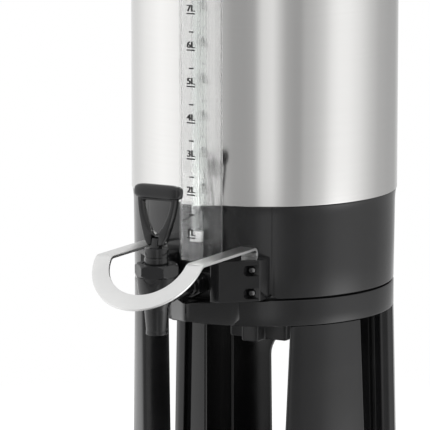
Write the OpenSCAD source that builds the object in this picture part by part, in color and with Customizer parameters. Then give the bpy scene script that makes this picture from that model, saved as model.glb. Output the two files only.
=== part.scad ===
// Insulated beverage dispenser: a double-walled steel vessel on a legged stand, with a lever
// tap behind a drip guard, a sight gauge, a lift-off lid and a pull-out drip tray.
// Millimetres. The vessel's axis is Z, the table is z = 0, and the tap points along -Y.

/* [Stand ring] */
// Height of the stand ring's lower edge above the table
stand_h = 250; // [235:1:270]
// Distance of the stand ring's outer face inside the shell's
ring_inset = 2.3; // [1.7:0.1:2.9]
// Height of the stand ring
ring_h = 22.5; // [21:0.5:26]
// Wall of the stand ring's skirt
ring_wall = 3.2; // [2.6:0.1:4]
// Thickness of the deck that carries the vessel
deck_t = 4; // [3:0.5:6]
// Radius of the rounded tip of the ring's nose
nose_tip_r = 3; // [2:0.5:5]
// How far the nose's tip stands out beyond the ring
nose_stand = 29.5; // [27:0.5:32]
// Half width of the nose where it meets the ring
nose_half_w = 34.5; // [33:0.5:36]
// Rise of the nose's underside from the ring's edge to the tip
nose_rise = 7; // [5:0.5:9]
// Height of the chamfer on the nose's lower side corners
nose_chamfer = 5.5; // [4:0.5:7]

/* [Legs] */
// Wall of the legs
leg_wall = 3; // [2.4:0.2:3.6]
// Gap between the legs' tops and the ring
leg_joint = 0.4; // [0.2:0.1:1]
// Direction of a front leg's middle, in degrees from the front
front_leg_mid = 57.75; // [55:0.25:60]
// Half width of a front leg at the ring
front_leg_half_w = 35.3; // [33:0.1:37]
// Extra half width of a front leg at the foot
front_leg_spread = 11; // [6:0.5:13]
// Outward flare of a front leg at the foot
front_leg_flare = 2.6; // [1:0.1:4]
// Depth of a front leg's side flanges
front_leg_depth = 26; // [22:1:30]
// Inward turn of a front leg's side flanges, in degrees
front_leg_turn = 31; // [29:0.5:33]
// Outward flare of the rear legs at the foot
rear_leg_flare = 6; // [3:0.5:8]
// Edge of a rear leg, in degrees from the front
rear_edge_angle = 108.7; // [106:0.1:112]
// Inner flange of a rear leg, in degrees from the front
rear_rib_angle = 133; // [130:0.5:136]
// Depth of a rear leg's edge flange
rear_edge_depth = 37; // [30:1:40]
// Depth of a rear leg's inner flange
rear_rib_depth = 29; // [25:1:34]
// Half width of the arch between the rear legs
arch_half_w = 48.5; // [44:0.5:52]
// Height of the apron above the arch
apron_h = 45; // [35:1:55]
// Radius of the arch's upper corners
arch_corner_r = 26; // [18:1:32]

/* [Foot plate and tray] */
// How far the foot plate stands out beyond the shell
foot_proud = 8.5; // [6.5:0.5:12]
// Top of the foot plate above the table
foot_top = 16; // [14:1:18]
// Gap between the table and the foot plate
foot_lift = 3; // [2:0.5:4]
// Thickness of the foot plate under the tray and over its screws
foot_skin = 4; // [3:0.5:5]
// How far the foot plate reaches beyond the tap's axis
foot_lead = 73; // [69:1:81]
// Width of the foot plate's tongue
tongue_w = 156; // [152:1:164]
// Radius of the tongue's front corners
tongue_corner_r = 22; // [14:1:26]
// Width of the drip tray
tray_w = 136; // [130:1:140]
// Length of the drip tray
tray_len = 122; // [114:1:126]
// Height of the drip tray
tray_h = 20; // [16:1:24]
// Wall of the drip tray
tray_wall = 2; // [1.6:0.2:2.6]
// Radius of the tray's corners
tray_corner_r = 12; // [8:1:14]
// Thickness of the drip grid
grid_t = 1.5; // [1:0.1:2]
// Number of slots in the drip grid
grid_slots = 11; // [7:1:13]
// Width of a slot in the drip grid
grid_slot_w = 4.2; // [3:0.2:5]
// Radius of a rubber pad
pad_r = 13; // [10:1:15]
// Depth that a pad is let into the foot plate
pad_seat = 1.5; // [1:0.1:2]

/* [Clamp] */
// Half reach of the clamp knob's wings
knob_reach = 28; // [24:1:32]
// Half width of the knob's fore and aft wings
knob_wing_w = 8; // [6:0.5:9]
// Half width of the knob's side wings
knob_side_w = 12; // [9:0.5:13]
// Height of the clamp knob
knob_h = 47; // [40:1:50]
// Radius of the clamp stud
stud_r = 5; // [4:0.5:6]

/* [Vessel base collar] */
// Height of the dark groove between the ring and the collar
groove_h = 1.5; // [1:0.1:2.5]
// Depth of that groove
groove_depth = 5; // [3:0.5:6]
// Height of the collar
collar_h = 79.5; // [76:0.5:84]
// Distance of the collar's foot inside the shell's outer face
collar_foot_inset = 2.5; // [2.1:0.1:2.9]
// Distance of the collar below its lip inside the shell's outer face
collar_neck_inset = 1.7; // [1.5:0.1:2]
// Distance of the collar's lip inside the shell's outer face
collar_lip_inset = 0.5; // [0.1:0.1:0.9]
// Height of the collar's flared lip
collar_lip_h = 13; // [10:0.5:16]
// Wall of the collar
collar_wall = 3; // [2.4:0.1:3.4]
// Thickness of the collar's floor
collar_floor_t = 4; // [3.5:0.1:4.2]

/* [Vessel] */
// Outer radius of the steel shell
shell_r = 115.5; // [108:0.5:125]
// Wall of the steel shell
shell_wall = 1; // [0.8:0.1:1.2]
// Height of the steel shell above the collar
shell_h = 274; // [240:2:300]
// Distance from the shell's outer face to the liner's inner face
wall_depth = 13.8; // [13.3:0.1:14.5]
// Wall of the liner
liner_wall = 0.8; // [0.6:0.1:1]
// Radius of the liner's bottom corner
liner_corner_r = 35; // [32:1:38]
// Height of the liner's floor above the collar's floor
liner_lift = 17; // [17:0.5:19]
// Width of the liner's rim flange
liner_flange_w = 10; // [8:0.5:11]

/* [Tap] */
// Distance of the tap's axis in front of the shell
tap_stand = 73.5; // [71.5:0.5:76.5]
// Height of the tap's shank above the deck
tap_rise = 13.5; // [13.2:0.1:13.8]
// Drop from the shank to the tap's outlet
outlet_drop = 31.5; // [29:0.5:34]
// Outer radius of the outlet
outlet_r = 8.7; // [8.2:0.1:9.2]
// Bore radius of the outlet
outlet_bore_r = 6.4; // [5.6:0.1:6.8]
// Outer radius of the tap's body at the top
tap_top_r = 16.8; // [16:0.1:17.5]
// Height from the shank to the top of the body
tap_top_rise = 18; // [17:0.5:19]
// Outer radius of the shank
shank_r = 8.5; // [8.3:0.1:8.8]
// Width across the corners of the bonnet nut
bonnet_w = 37.6; // [36:0.2:39]
// Height of the bonnet nut
bonnet_h = 10.5; // [9:0.5:12]
// Radius of the bonnet's neck
neck_r = 10; // [9.9:0.1:11]
// Height of the bonnet's neck above the nut
neck_h = 13.5; // [13:0.5:14]
// Radius of the tap's stem
stem_r = 3; // [2.5:0.1:3.5]
// Lift of the stem at full opening
stem_lift = 5; // [3:0.5:5]

/* [Tap handle] */
// Height of the handle's pivot above the neck
pivot_rise = 6; // [6:0.1:6.5]
// Radius of the handle's pin
pin_r = 1.8; // [1.5:0.1:2]
// Height of the crossbar's middle above the pivot
bar_rise = 39.5; // [39:0.5:44]
// Length of the crossbar
bar_len = 44.5; // [41:0.5:46]
// Height of the crossbar
bar_h = 12.6; // [11:0.2:14]
// Half width of the loop below the crossbar
loop_half_w = 18.2; // [17:0.1:18.5]
// Half width of the loop at its foot
loop_foot_w = 8; // [7.5:0.1:9]
// Thickness of the loop's limbs
limb_t = 4.2; // [3.8:0.1:5]
// Depth of the loop
loop_depth = 8; // [7.5:0.5:10]
// Backward lean of the handle, in degrees
handle_lean = 5.5; // [3:0.5:8]

/* [Drip guard] */
// Width of the guard's flat bar
guard_w = 15.2; // [14:0.1:16]
// Thickness of the guard's flat bar
guard_t = 2.5; // [2:0.1:3]
// Inner radius of the guard's bow
guard_r = 35.7; // [35.3:0.1:36.5]
// Height of the guard's top above the deck
guard_rise = 47; // [46:0.5:49]
// How far the guard's crease lies beyond the tap's axis
guard_lead = 12.5; // [10:0.5:15]
// Downward slope of the bow, in degrees
guard_slope = 44.5; // [42:0.5:48]

/* [Tap housing] */
// Half width of the housing
cheek_half_w = 58; // [57:0.5:59]
// Half width of the gap between the cheeks
cheek_gap = 22.4; // [22:0.1:23]
// Distance of the cheeks' outer front corners in front of the ring
cheek_side_stand = 2.3; // [0.8:0.1:3.8]
// Distance of the cheeks' front faces in front of the shell
cheek_front_stand = 24; // [22:0.5:26]
// Width of a cheek's front face
cheek_land = 9.6; // [8:0.2:12]
// Height of the cheeks
cheek_h = 35.2; // [34:0.2:36]
// Radius of the cheeks' inner front corners
cheek_corner_r = 2; // [1:0.5:3]
// Height of a screw pocket in a cheek
pocket_h = 9.2; // [8.2:0.2:10]
// Spacing of the two screws in a cheek
pocket_pitch = 19.6; // [18:0.2:20]

/* [Sight gauge] */
// Distance of the sight tube's axis in front of the shell
gauge_stand = 5.3; // [4.9:0.1:5.7]
// Outer radius of the sight tube
tube_r = 4; // [3.6:0.1:4.2]
// Wall of the sight tube
tube_wall = 1; // [0.8:0.1:1.4]
// Half width of the shield's front face
shield_front_half_w = 11; // [10.5:0.1:12]
// Half width of the shield at the vessel
shield_back_half_w = 19.8; // [19:0.1:20.6]
// Thickness of the shield
shield_t = 1.4; // [1:0.1:1.6]
// Distance of the shield's front face in front of the shell
shield_stand = 12.5; // [12.3:0.1:13.5]
// Gap between the shield's upper end and the steel shell's upper edge
shield_top_gap = 26; // [22:1:34]

/* [Rim and lid] */
// How far the rim ring stands out beyond the shell
rim_proud = 3; // [2.5:0.1:4.5]
// Height of the rim ring's skirt over the shell
rim_skirt_h = 14; // [10:1:16]
// Thickness of the rim ring above the liner's flange
rim_t = 8; // [6:0.5:10]
// Distance of the lid's edge inside the shell's outer face
lid_inset = 1.5; // [0:0.5:3.5]
// Height of the lid's cover
lid_h = 18; // [15:1:24]
// Depth of the lid's plug in the vessel
plug_depth = 30; // [24:1:34]
// Radius of the lid's knob
lid_knob_r = 21; // [18:1:24]
// Height of the lid's knob
lid_knob_h = 30; // [26:1:34]

/* [Carry handles] */
// Distance of a carry handle's grip in front of the shell
grip_stand = 49.5; // [42.5:1:56.5]
// Radius of a carry handle's grip
grip_r = 8; // [7:0.5:9]
// Half length of a carry handle
grip_half_len = 52; // [48:1:58]
// Thickness of a carry handle's mounting plate
handle_plate_t = 5; // [4:0.5:6]

/* [Hidden] */
// How finely curves are drawn
$fn = 96;
// Overrun of every cut past the face that it opens
cut = 1;
// Gap between neighbouring pieces that only face each other
gap = 0.3;
// Radial clearance of a piece that slides, turns or is pushed into another
run = 0.06;
// Small round used on edges
soft = 1.2;

// Radii and reaches from the vessel's axis
ring_r = shell_r - ring_inset;
collar_foot_r = shell_r - collar_foot_inset;
collar_neck_r = shell_r - collar_neck_inset;
collar_lip_r = shell_r - collar_lip_inset;
liner_r = shell_r - wall_depth;
rim_r = shell_r + rim_proud;
lid_r = shell_r - lid_inset;
grip_reach = shell_r + grip_stand;
gauge_reach = shell_r + gauge_stand;
shield_reach = shell_r + shield_stand;
tap_reach = shell_r + tap_stand;
guard_reach = tap_reach + guard_lead;
cheek_side_reach = ring_r + cheek_side_stand;
cheek_front_reach = shell_r + cheek_front_stand;
foot_r = shell_r + foot_proud;
foot_reach = tap_reach + foot_lead;

// Heights, from the table up
deck_z = stand_h + ring_h;
collar_z = deck_z + groove_h;
collar_top = collar_z + collar_h;
shell_top = collar_top + shell_h;
liner_z = deck_z + collar_floor_t + liner_lift;
rim_z = shell_top + gap + liner_wall;
lid_z = rim_z + rim_t;
lid_top = lid_z + lid_h;
tap_z = deck_z + tap_rise;
outlet_z = tap_z - outlet_drop;
tap_top_z = tap_z + tap_top_rise;
neck_z = tap_top_z + bonnet_h;
neck_top = neck_z + neck_h;
pivot_z = neck_top + pivot_rise;
cheek_z = collar_z + soft;
cheek_top = cheek_z + cheek_h;
guard_z = deck_z + guard_rise;
leg_top = stand_h - leg_joint;
shield_top = shell_top - shield_top_gap;

// Stand
ring_bore_r = ring_r - ring_wall;
tongue_r = ring_bore_r - gap;
tongue_t = 6;
tongue_root = 10;
tongue_top = deck_z - deck_t - gap;
leg_foot_t = 4;
leg_screw_r = 2;
leg_screw_head_r = 4;
leg_screw_head_h = 2.2;
ring_screw_head_r = 2.9;
foot_screw_reach = ring_r - 13.2;
foot_screw_len = 14;
ring_screw_len = 14;
rear_leg_mid = (rear_edge_angle + rear_rib_angle) / 2;
nose_edge = 0.8;
nose_reach = ring_r + nose_stand;
nose_side_reach = sqrt(ring_r * ring_r - nose_half_w * nose_half_w) + nose_edge;
tongue_half_angle = 12;

// Foot plate and tray
pad_h = foot_lift + pad_seat;
pad_ring = foot_r - 20;
pad_front_inset = 20;
tray_gap = 1;
tray_z = foot_lift + foot_skin + gap;
tray_front = foot_reach + 2;
tray_lip = 7;
tray_lip_w = 70;
grid_seat = 2;
grid_gap = 0.4;
grid_border = 12;
tray_top = tray_z + tray_h;
grid_z = tray_top - grid_t - soft / 2;

// Clamp
washer_r = 16;
washer_t = 2;
knob_hub_r = 15;
knob_top = deck_z - deck_t - washer_t - gap;
knob_z = knob_top - knob_h;
knob_round = 3;
stud_head_r = 20;
stud_head_t = 3;
stud_bite = 30;

// Vessel base
ledge_t = 4;
ledge_r = liner_r + liner_wall + 1.7;
collar_spigot_h = 5;
collar_spigot_t = 3;
lip_steps = 5;
window_half_w = 14;
window_h = 24;
gauge_port_rise = 33;
gauge_port_z = collar_z + gauge_port_rise;
foam_gap = 0.4;

// Drain from the vessel to the tap
drain_r = 8.6;
drain_clearance = 2.1;
drain_reach = liner_r - liner_corner_r - drain_r - drain_clearance;
drain_bore_r = 6.2;
drain_rim = 1.2;
pipe_r = 6.1;
pipe_bore_r = 4.6;
thread_r = 7.2;
flange_r = 9;
flange_t = 3;
seal_t = 1.2;
flange_gap = 0.8;
flange_reach = collar_foot_r - collar_wall - flange_t - seal_t - flange_gap;
thread_out = 12.5;
thread_end = collar_foot_r + thread_out;
gasket_t = 1.5;
nut_w = 22;
nut_len = 15;
nut_lip = 3;

// Tap
bell_r = 15.4;
bell_drop = 14;
waist_r = 10.4;
waist_drop = 28;
outlet_lip_h = 3;
outlet_lip_t = 0.3;
seat_drop = 7;
seat_bore_r = 9.2;
chamber_r = 13;
chamber_drop = 13;
cup_r = 8.4;
cup_h = 4;
bonnet_turn = -43;
bonnet_chamfer = 1.6;
bonnet_skirt_h = 7;
spigot_r = 9.6;
spring_room_r = 8.3;
spring_cap_t = 6;
spring_r = 7;
spring_wire_r = 0.7;
spring_turns = 6;
spring_steps = 10;
spring_sides = 6;
stem_foot_r = 7.6;
stem_foot_t = 2;
stem_gap = 0.6;
lug_half_w = 3;
lug_gap = 0.3;
lug_r = 3.2;
hub_r = 5.2;
window_rise = 5.3;
window_power = 2.5;
loop_steps = 12;

// Gauge
gauge_bore_r = 2.2;
stub_r = 4.4;
stub_inner = liner_r - 9.7;
stub_end = shell_r - 2.5;
elbow_r = 6.6;
elbow_half_h = 8;
arm_end = liner_r + liner_wall + 0.5;
elbow_top_rise = 4;
gland_r = 5.2;
gland_h = 12;
gland_seat = 3;
gauge_seal_h = 3;
gauge_seal_r = 4.7;
gauge_nut_r = 5.4;
gauge_nut_h = 9;
gauge_flange_r = 11.5;
gauge_flange_rise = 7;
elbow_z = gauge_port_z - elbow_half_h;
gland_z = gauge_port_z + elbow_top_rise;
gauge_nut_z = gland_z + gland_h + gap;
tube_z = gland_z + gland_seat;
cap_r = 5.8;
cap_h = 22;
cap_bite = 10;
tube_drop = 18;
tube_top = shield_top - tube_drop;
shield_dip = 4;
shield_z = cheek_top - shield_dip;
shield_screw_r = 1.5;
shield_screw_head_r = 3;
shield_screw_head_h = 1.6;
shield_screw_len = 6;
shield_screw_drop = 9;

// Rim, lid and carry handles
rim_bore_r = liner_r + gap;
lid_wall = 3;
lid_edge_r = 8;
plug_clearance = 2.3;
plug_r = liner_r - plug_clearance;
plug_wall = 2;
lid_gasket_h = 6;
lid_gasket_drop = 14;
lid_bead_t = 1;
knob_stem_r = 11;
knob_stem_h = 12;
lid_screw_r = 3;
lid_screw_head_r = 6;
lid_screw_head_h = 3;
lid_screw_bite = 14;
pad_out = rim_r + 4;
pad_half_w = 50;
pad_drop = 13;
pad_rise = 6;
grip_z = rim_z - (pad_drop - pad_rise) / 2;
arm_w = 12;
arm_t = 14;
handle_screw_r = 2.5;
handle_screw_head_r = 4.5;
handle_screw_head_h = 2.5;
handle_screw_y = 22;
handle_screw_bite = 5;
guard_bend_r = 3;
crease_step = 0.05;
tab_stand = 0.474;
tab_reach = sqrt(collar_foot_r * collar_foot_r - guard_r * guard_r) + tab_stand;
tab_foot = 2.8;
tab_z = cheek_z + tab_foot;
tab_drop = 4;
tab_top = cheek_top - tab_drop;
tab_w = 19.5;
pocket_inset = 7;
pocket_x = cheek_half_w - pocket_inset;
pocket_skin = 8.2;
pocket_floor = tab_reach + pocket_skin;
pocket_round = 2.8;
pocket_mid_share = 0.47;
screw_r = 2;
screw_head_r = 3;
screw_head_h = 2.4;
web_t = 3.6;
web_h = 20.5;
nut_gap = 1.6;
nut_reach = collar_neck_r + web_t + nut_gap;

black = "#2b2c2e";
steel = "#c9c9c6";
bright = "#dcdcda";
rubber = "#1c1c1d";
clear = "#dfeaec";
foam = "#e8dfc4";
silicone = "#b9b4aa";

// Direction in the plan, in degrees from the front
function dir(a) = [sin(a), -cos(a)];

function unit(v) = v / norm(v);

// Points of the arc of radius r that rounds the corner b between a and c
function corner_arc(a, b, c, r, n = 8) =
    let (u = unit(a - b), v = unit(c - b), half = acos(u * v) / 2,
        m = b + unit(u + v) * r / sin(half),
        s = b + u * r / tan(half) - m, e = b + v * r / tan(half) - m,
        a0 = atan2(s[1], s[0]),
        turn = (atan2(e[1], e[0]) - a0 + 900) % 360 - 180)
    [for (i = [0:n]) m + r * [cos(a0 + turn * i / n), sin(a0 + turn * i / n)]];

// Small shared shapes

module tube(r, bore, h) {
    difference() {
        cylinder(r = r, h = h);
        translate([0, 0, -cut]) cylinder(r = bore, h = h + 2 * cut);
    }
}

// A cylinder along -Y, from distance y0 to y1 in front of the axis
module along_y(r, y0, y1, z, x = 0) {
    translate([x, -y0, z]) rotate([90, 0, 0]) cylinder(r = r, h = y1 - y0);
}

module rounded_outline(w, l, r) {
    square([w - 2 * r, l], center = true);
    square([w, l - 2 * r], center = true);
    for (x = [-1, 1], y = [-1, 1])
        translate([x * (w / 2 - r), y * (l / 2 - r)]) circle(r = r);
}

// A vessel's solid inside, with a rounded bottom corner
module bowl(r, z0, z1, corner) {
    rotate_extrude() {
        translate([0, z0]) square([r - corner, z1 - z0]);
        translate([0, z0 + corner]) square([r, z1 - z0 - corner]);
        intersection() {
            translate([r - corner, z0 + corner]) circle(r = corner);
            translate([0, z0]) square([r, corner]);
        }
    }
}

// A pie slice of the plan between two directions less than a half turn apart
module sector(a0, a1, z0, z1) {
    far = 2 * shell_r;
    translate([0, 0, z0]) linear_extrude(z1 - z0)
        polygon([[0, 0], far * dir(a0), 2 * far * dir((a0 + a1) / 2), far * dir(a1)]);
}

// Stand

// Radius of a leg's outer face at a height
function leg_r(flare, z) = ring_r + flare * (leg_top - z) / (leg_top - foot_top);

// Solid cone inside a leg's outer face, drawn in by inset
module leg_cone(flare, inset, z0, z1 = leg_top) {
    translate([0, 0, z0])
        cylinder(r1 = leg_r(flare, z0) - inset, r2 = leg_r(flare, z1) - inset, h = z1 - z0);
}

// Half width of a front leg at a height
function front_leg_w(z) =
    front_leg_half_w + front_leg_spread * (leg_top - z) / (leg_top - foot_top);

// Plan at a height of the wedge between a front leg's sides, drawn in by inset
function front_leg_plan(inset, z) =
    let (w = front_leg_w(z), r = leg_r(front_leg_flare, z), y = -sqrt(r * r - w * w),
        x = w - inset / cos(front_leg_turn), fore = ring_r / 2, aft = front_leg_depth + leg_wall,
        t = tan(front_leg_turn))
    [[x + fore * t, y - fore, z], [x - aft * t, y + aft, z], [aft * t - x, y + aft, z],
        [-x - fore * t, y - fore, z]];

module front_leg_span(inset, z0, z1)
    polyhedron(concat(front_leg_plan(inset, z0), front_leg_plan(inset, z1)),
        [[0, 1, 2, 3], [7, 6, 5, 4], [0, 4, 5, 1], [1, 5, 6, 2], [2, 6, 7, 3], [3, 7, 4, 0]]);

// Tongue of a leg that stands inside the ring's skirt, facing the given direction
module leg_tongue(angle) {
    intersection() {
        union() {
            translate([0, 0, leg_top - tongue_root])
                tube(tongue_r, tongue_r - tongue_t, tongue_top - leg_top + tongue_root);
            translate([0, 0, leg_top - tongue_root])
                tube(ring_r - leg_wall / 2, tongue_r - tongue_t, tongue_root - gap);
        }
        sector(angle - tongue_half_angle, angle + tongue_half_angle, leg_top - 2 * tongue_root,
            deck_z);
    }
}

module front_leg() {
    difference() {
        union() {
            difference() {
                intersection() {
                    leg_cone(front_leg_flare, 0, foot_top);
                    front_leg_span(0, foot_top, leg_top);
                }
                translate([0, 0, foot_top - cut])
                    cylinder(r = ring_r - front_leg_depth, h = leg_top - foot_top + 2 * cut);
                intersection() {
                    leg_cone(front_leg_flare, leg_wall, foot_top + leg_foot_t, leg_top + cut);
                    front_leg_span(leg_wall, foot_top + leg_foot_t, leg_top + cut);
                }
            }
            leg_tongue(0);
        }
        leg_screw_holes(0);
    }
}

// Holes in a leg's foot and tongue for its screws
module leg_screw_holes(angle) {
    rotate([0, 0, angle]) {
        translate([0, -foot_screw_reach, foot_top - cut])
            cylinder(r = leg_screw_r + run, h = leg_foot_t + 2 * cut);
        translate([0, -tongue_r + tongue_t / 2, tongue_top - ring_screw_len])
            cylinder(r = leg_screw_r + run, h = ring_screw_len + cut);
    }
}

module front_leg_left() color(black) rotate([0, 0, -front_leg_mid]) front_leg();

module front_leg_right() color(black) rotate([0, 0, front_leg_mid]) front_leg();

module arch_cut() {
    top = stand_h - apron_h;
    translate([0, 2 * ring_r, 0]) rotate([90, 0, 0]) linear_extrude(2 * ring_r) {
        translate([-arch_half_w, foot_top - cut])
            square([2 * arch_half_w, top - arch_corner_r - foot_top + cut]);
        translate([-arch_half_w + arch_corner_r, foot_top - cut])
            square([2 * (arch_half_w - arch_corner_r), top - foot_top + cut]);
        for (side = [-1, 1])
            translate([side * (arch_half_w - arch_corner_r), top - arch_corner_r])
                circle(r = arch_corner_r);
    }
}

// Upright flange that runs inward from the rear shell; side is 1 when it lies past its angle
module rear_flange(angle, depth, side) {
    out = ring_r + rear_leg_flare;
    intersection() {
        leg_cone(rear_leg_flare, leg_wall / 2, foot_top);
        rotate([0, 0, angle]) translate([side > 0 ? 0 : -leg_wall, -out, foot_top])
            cube([leg_wall, out - ring_r + depth, leg_top - foot_top]);
    }
}

// Half of the rear legs' shell, on the side that the sign gives
module rear_shell(side) {
    intersection() {
        difference() {
            leg_cone(rear_leg_flare, 0, foot_top);
            leg_cone(rear_leg_flare, leg_wall, foot_top - cut, leg_top + cut);
        }
        sector(side * rear_edge_angle, side * 180, foot_top - cut, leg_top + cut);
    }
}

module rear_foot(side) {
    intersection() {
        leg_cone(rear_leg_flare, leg_wall / 2, foot_top, foot_top + leg_foot_t);
        difference() {
            sector(side * rear_edge_angle, side * rear_rib_angle, foot_top - cut, stand_h);
            cylinder(r = ring_r - rear_rib_depth, h = stand_h);
        }
    }
}

module rear_legs() color(black) {
    difference() {
        union() {
            for (side = [-1, 1]) {
                rear_shell(side);
                rear_flange(side * rear_edge_angle, rear_edge_depth, side);
                rear_flange(side * rear_rib_angle, rear_rib_depth, -side);
                leg_tongue(side * rear_leg_mid);
                rear_foot(side);
            }
        }
        arch_cut();
        for (side = [-1, 1]) leg_screw_holes(side * rear_leg_mid);
    }
}

function leg_angles() = [-front_leg_mid, front_leg_mid, -rear_leg_mid, rear_leg_mid];

module leg_screws() color(bright) {
    for (a = leg_angles()) rotate([0, 0, a]) {
        translate([0, -foot_screw_reach, foot_top - foot_skin - leg_screw_head_h]) {
            cylinder(r = leg_screw_head_r, h = leg_screw_head_h);
            cylinder(r = leg_screw_r, h = foot_screw_len - cut);
        }
        translate([0, -tongue_r + tongue_t / 2, deck_z - leg_screw_head_h]) {
            cylinder(r = ring_screw_head_r, h = leg_screw_head_h - gap);
            translate([0, 0, leg_screw_head_h - ring_screw_len])
                cylinder(r = leg_screw_r, h = ring_screw_len - gap);
        }
    }
}

module stand_ring() color(black) {
    difference() {
        translate([0, 0, stand_h]) cylinder(r = ring_r, h = ring_h);
        translate([0, 0, stand_h - cut]) cylinder(r = ring_bore_r, h = ring_h - deck_t + cut);
        translate([0, 0, stand_h]) cylinder(r = stud_r + gap, h = ring_h + cut);
        for (a = leg_angles()) rotate([0, 0, a])
            translate([0, -tongue_r + tongue_t / 2, deck_z]) {
                translate([0, 0, -deck_t - cut]) cylinder(r = leg_screw_r + run, h = deck_t + 2 * cut);
                translate([0, 0, -leg_screw_head_h])
                    cylinder(r = ring_screw_head_r + run, h = leg_screw_head_h + cut);
            }
    }
}

module ring_nose() color(black) {
    side = [nose_half_w, -nose_side_reach];
    tip = [0, -nose_reach];
    mirrored = [-side[0], side[1]];
    corner_x = nose_half_w - nose_chamfer * nose_half_w / (nose_reach - nose_side_reach);
    difference() {
        translate([0, 0, stand_h]) linear_extrude(ring_h)
            polygon(concat([[nose_half_w, -ring_r / 2], side],
                corner_arc(side, tip, mirrored, nose_tip_r),
                [mirrored, [-nose_half_w, -ring_r / 2]]));
        translate([0, 0, stand_h - cut]) cylinder(r = ring_r + run, h = ring_h + 2 * cut);
        translate([-nose_half_w - cut, 0, 0]) rotate([90, 0, 90])
            linear_extrude(2 * (nose_half_w + cut))
                polygon([[-ring_r / 2, stand_h - cut], [-ring_r / 2, stand_h],
                    [-ring_r + ring_wall, stand_h], [-nose_reach, stand_h + nose_rise],
                    [-nose_reach - cut, stand_h + nose_rise], [-nose_reach - cut, stand_h - cut]]);
        for (side = [0, 1]) mirror([side, 0, 0]) rotate([90, 0, 0]) linear_extrude(nose_reach)
            polygon([[corner_x, stand_h - cut], [corner_x, stand_h],
                [nose_half_w, stand_h + nose_chamfer], [nose_half_w + cut, stand_h + nose_chamfer],
                [nose_half_w + cut, stand_h - cut]]);
    }
}

// Foot plate and tray

module foot_outline() {
    circle(r = foot_r);
    intersection() {
        translate([0, -foot_reach / 2]) rounded_outline(tongue_w, foot_reach, tongue_corner_r);
        translate([-tongue_w / 2, -foot_reach]) square([tongue_w, foot_reach]);
    }
}

function pad_places() = concat([[0, 0]],
    [for (a = [45, 135, 225, 315]) pad_ring * dir(a)],
    [for (side = [-1, 1]) [side * (tongue_w / 2 - pad_front_inset), -foot_reach + pad_front_inset]]);

module foot_plate() color(black) {
    channel = tray_front - tray_len - tray_gap;
    difference() {
        translate([0, 0, foot_lift]) linear_extrude(foot_top - foot_lift) foot_outline();
        translate([-tray_w / 2 - tray_gap, -foot_reach - cut, foot_lift + foot_skin])
            cube([tray_w + 2 * tray_gap, foot_reach + cut - channel, foot_top]);
        for (p = pad_places()) translate([p[0], p[1], foot_lift - cut])
            cylinder(r = pad_r + run, h = pad_seat + cut);
        for (a = leg_angles()) rotate([0, 0, a]) translate([0, -foot_screw_reach, 0]) {
            translate([0, 0, foot_lift - cut]) cylinder(r = leg_screw_head_r + gap,
                h = foot_top - foot_skin - foot_lift + cut);
            cylinder(r = leg_screw_r + run, h = foot_top + cut);
        }
    }
}

module rubber_pads() color(rubber) {
    for (p = pad_places()) translate([p[0], p[1], 0]) cylinder(r = pad_r, h = pad_h);
}

module drip_tray() color(black) {
    mid = -tray_front + tray_len / 2;
    inner_w = tray_w - 2 * tray_wall;
    inner_len = tray_len - 2 * tray_wall;
    difference() {
        union() {
            translate([0, mid, tray_z]) linear_extrude(tray_h)
                rounded_outline(tray_w, tray_len, tray_corner_r);
            translate([-tray_lip_w / 2, -tray_front - tray_lip, tray_top - tray_lip])
                cube([tray_lip_w, tray_lip + tray_wall, tray_lip]);
        }
        translate([0, mid, tray_z + tray_wall]) linear_extrude(tray_h)
            rounded_outline(inner_w - 2 * grid_seat, inner_len - 2 * grid_seat,
                tray_corner_r - tray_wall - grid_seat);
        translate([0, mid, grid_z]) linear_extrude(tray_h)
            rounded_outline(inner_w, inner_len, tray_corner_r - tray_wall);
        translate([-tray_lip_w / 2 + tray_wall, -tray_front - tray_lip + tray_wall,
            tray_top - tray_lip - cut])
            cube([tray_lip_w - 2 * tray_wall, tray_lip - tray_wall - soft,
                tray_lip - tray_wall + cut]);
    }
}

module drip_grid() color(steel) {
    mid = -tray_front + tray_len / 2;
    w = tray_w - 2 * tray_wall - 2 * grid_gap;
    len = tray_len - 2 * tray_wall - 2 * grid_gap;
    pitch = (w - 2 * grid_border) / grid_slots;
    slot_len = len - 2 * grid_border - grid_slot_w;
    translate([0, mid, grid_z]) difference() {
        linear_extrude(grid_t) rounded_outline(w, len, tray_corner_r - tray_wall - grid_gap);
        for (i = [0:grid_slots - 1]) translate([(i - (grid_slots - 1) / 2) * pitch, 0, -cut]) {
            translate([-grid_slot_w / 2, -slot_len / 2, 0])
                cube([grid_slot_w, slot_len, grid_t + 2 * cut]);
            for (y = [-slot_len / 2, slot_len / 2])
                translate([0, y, 0]) cylinder(d = grid_slot_w, h = grid_t + 2 * cut);
        }
    }
}

// Clamp

module clamp_washer() color(bright)
    translate([0, 0, deck_z - deck_t - washer_t]) tube(washer_r, stud_r + gap, washer_t);

module clamp_knob() color(black) translate([0, 0, knob_z]) difference() {
    linear_extrude(knob_h) {
        rounded_outline(2 * knob_wing_w, 2 * knob_reach, knob_round);
        rounded_outline(2 * knob_reach, 2 * knob_side_w, knob_round);
        circle(r = knob_hub_r);
    }
    translate([0, 0, knob_h - stud_bite - cut]) cylinder(r = stud_r + run, h = stud_bite + 2 * cut);
}

module clamp_stud() color(bright) {
    floor_z = deck_z + collar_floor_t;
    translate([0, 0, floor_z]) cylinder(r = stud_head_r, h = stud_head_t);
    translate([0, 0, knob_top - stud_bite]) cylinder(r = stud_r, h = floor_z - knob_top + stud_bite + cut);
}

// Vessel

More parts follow.
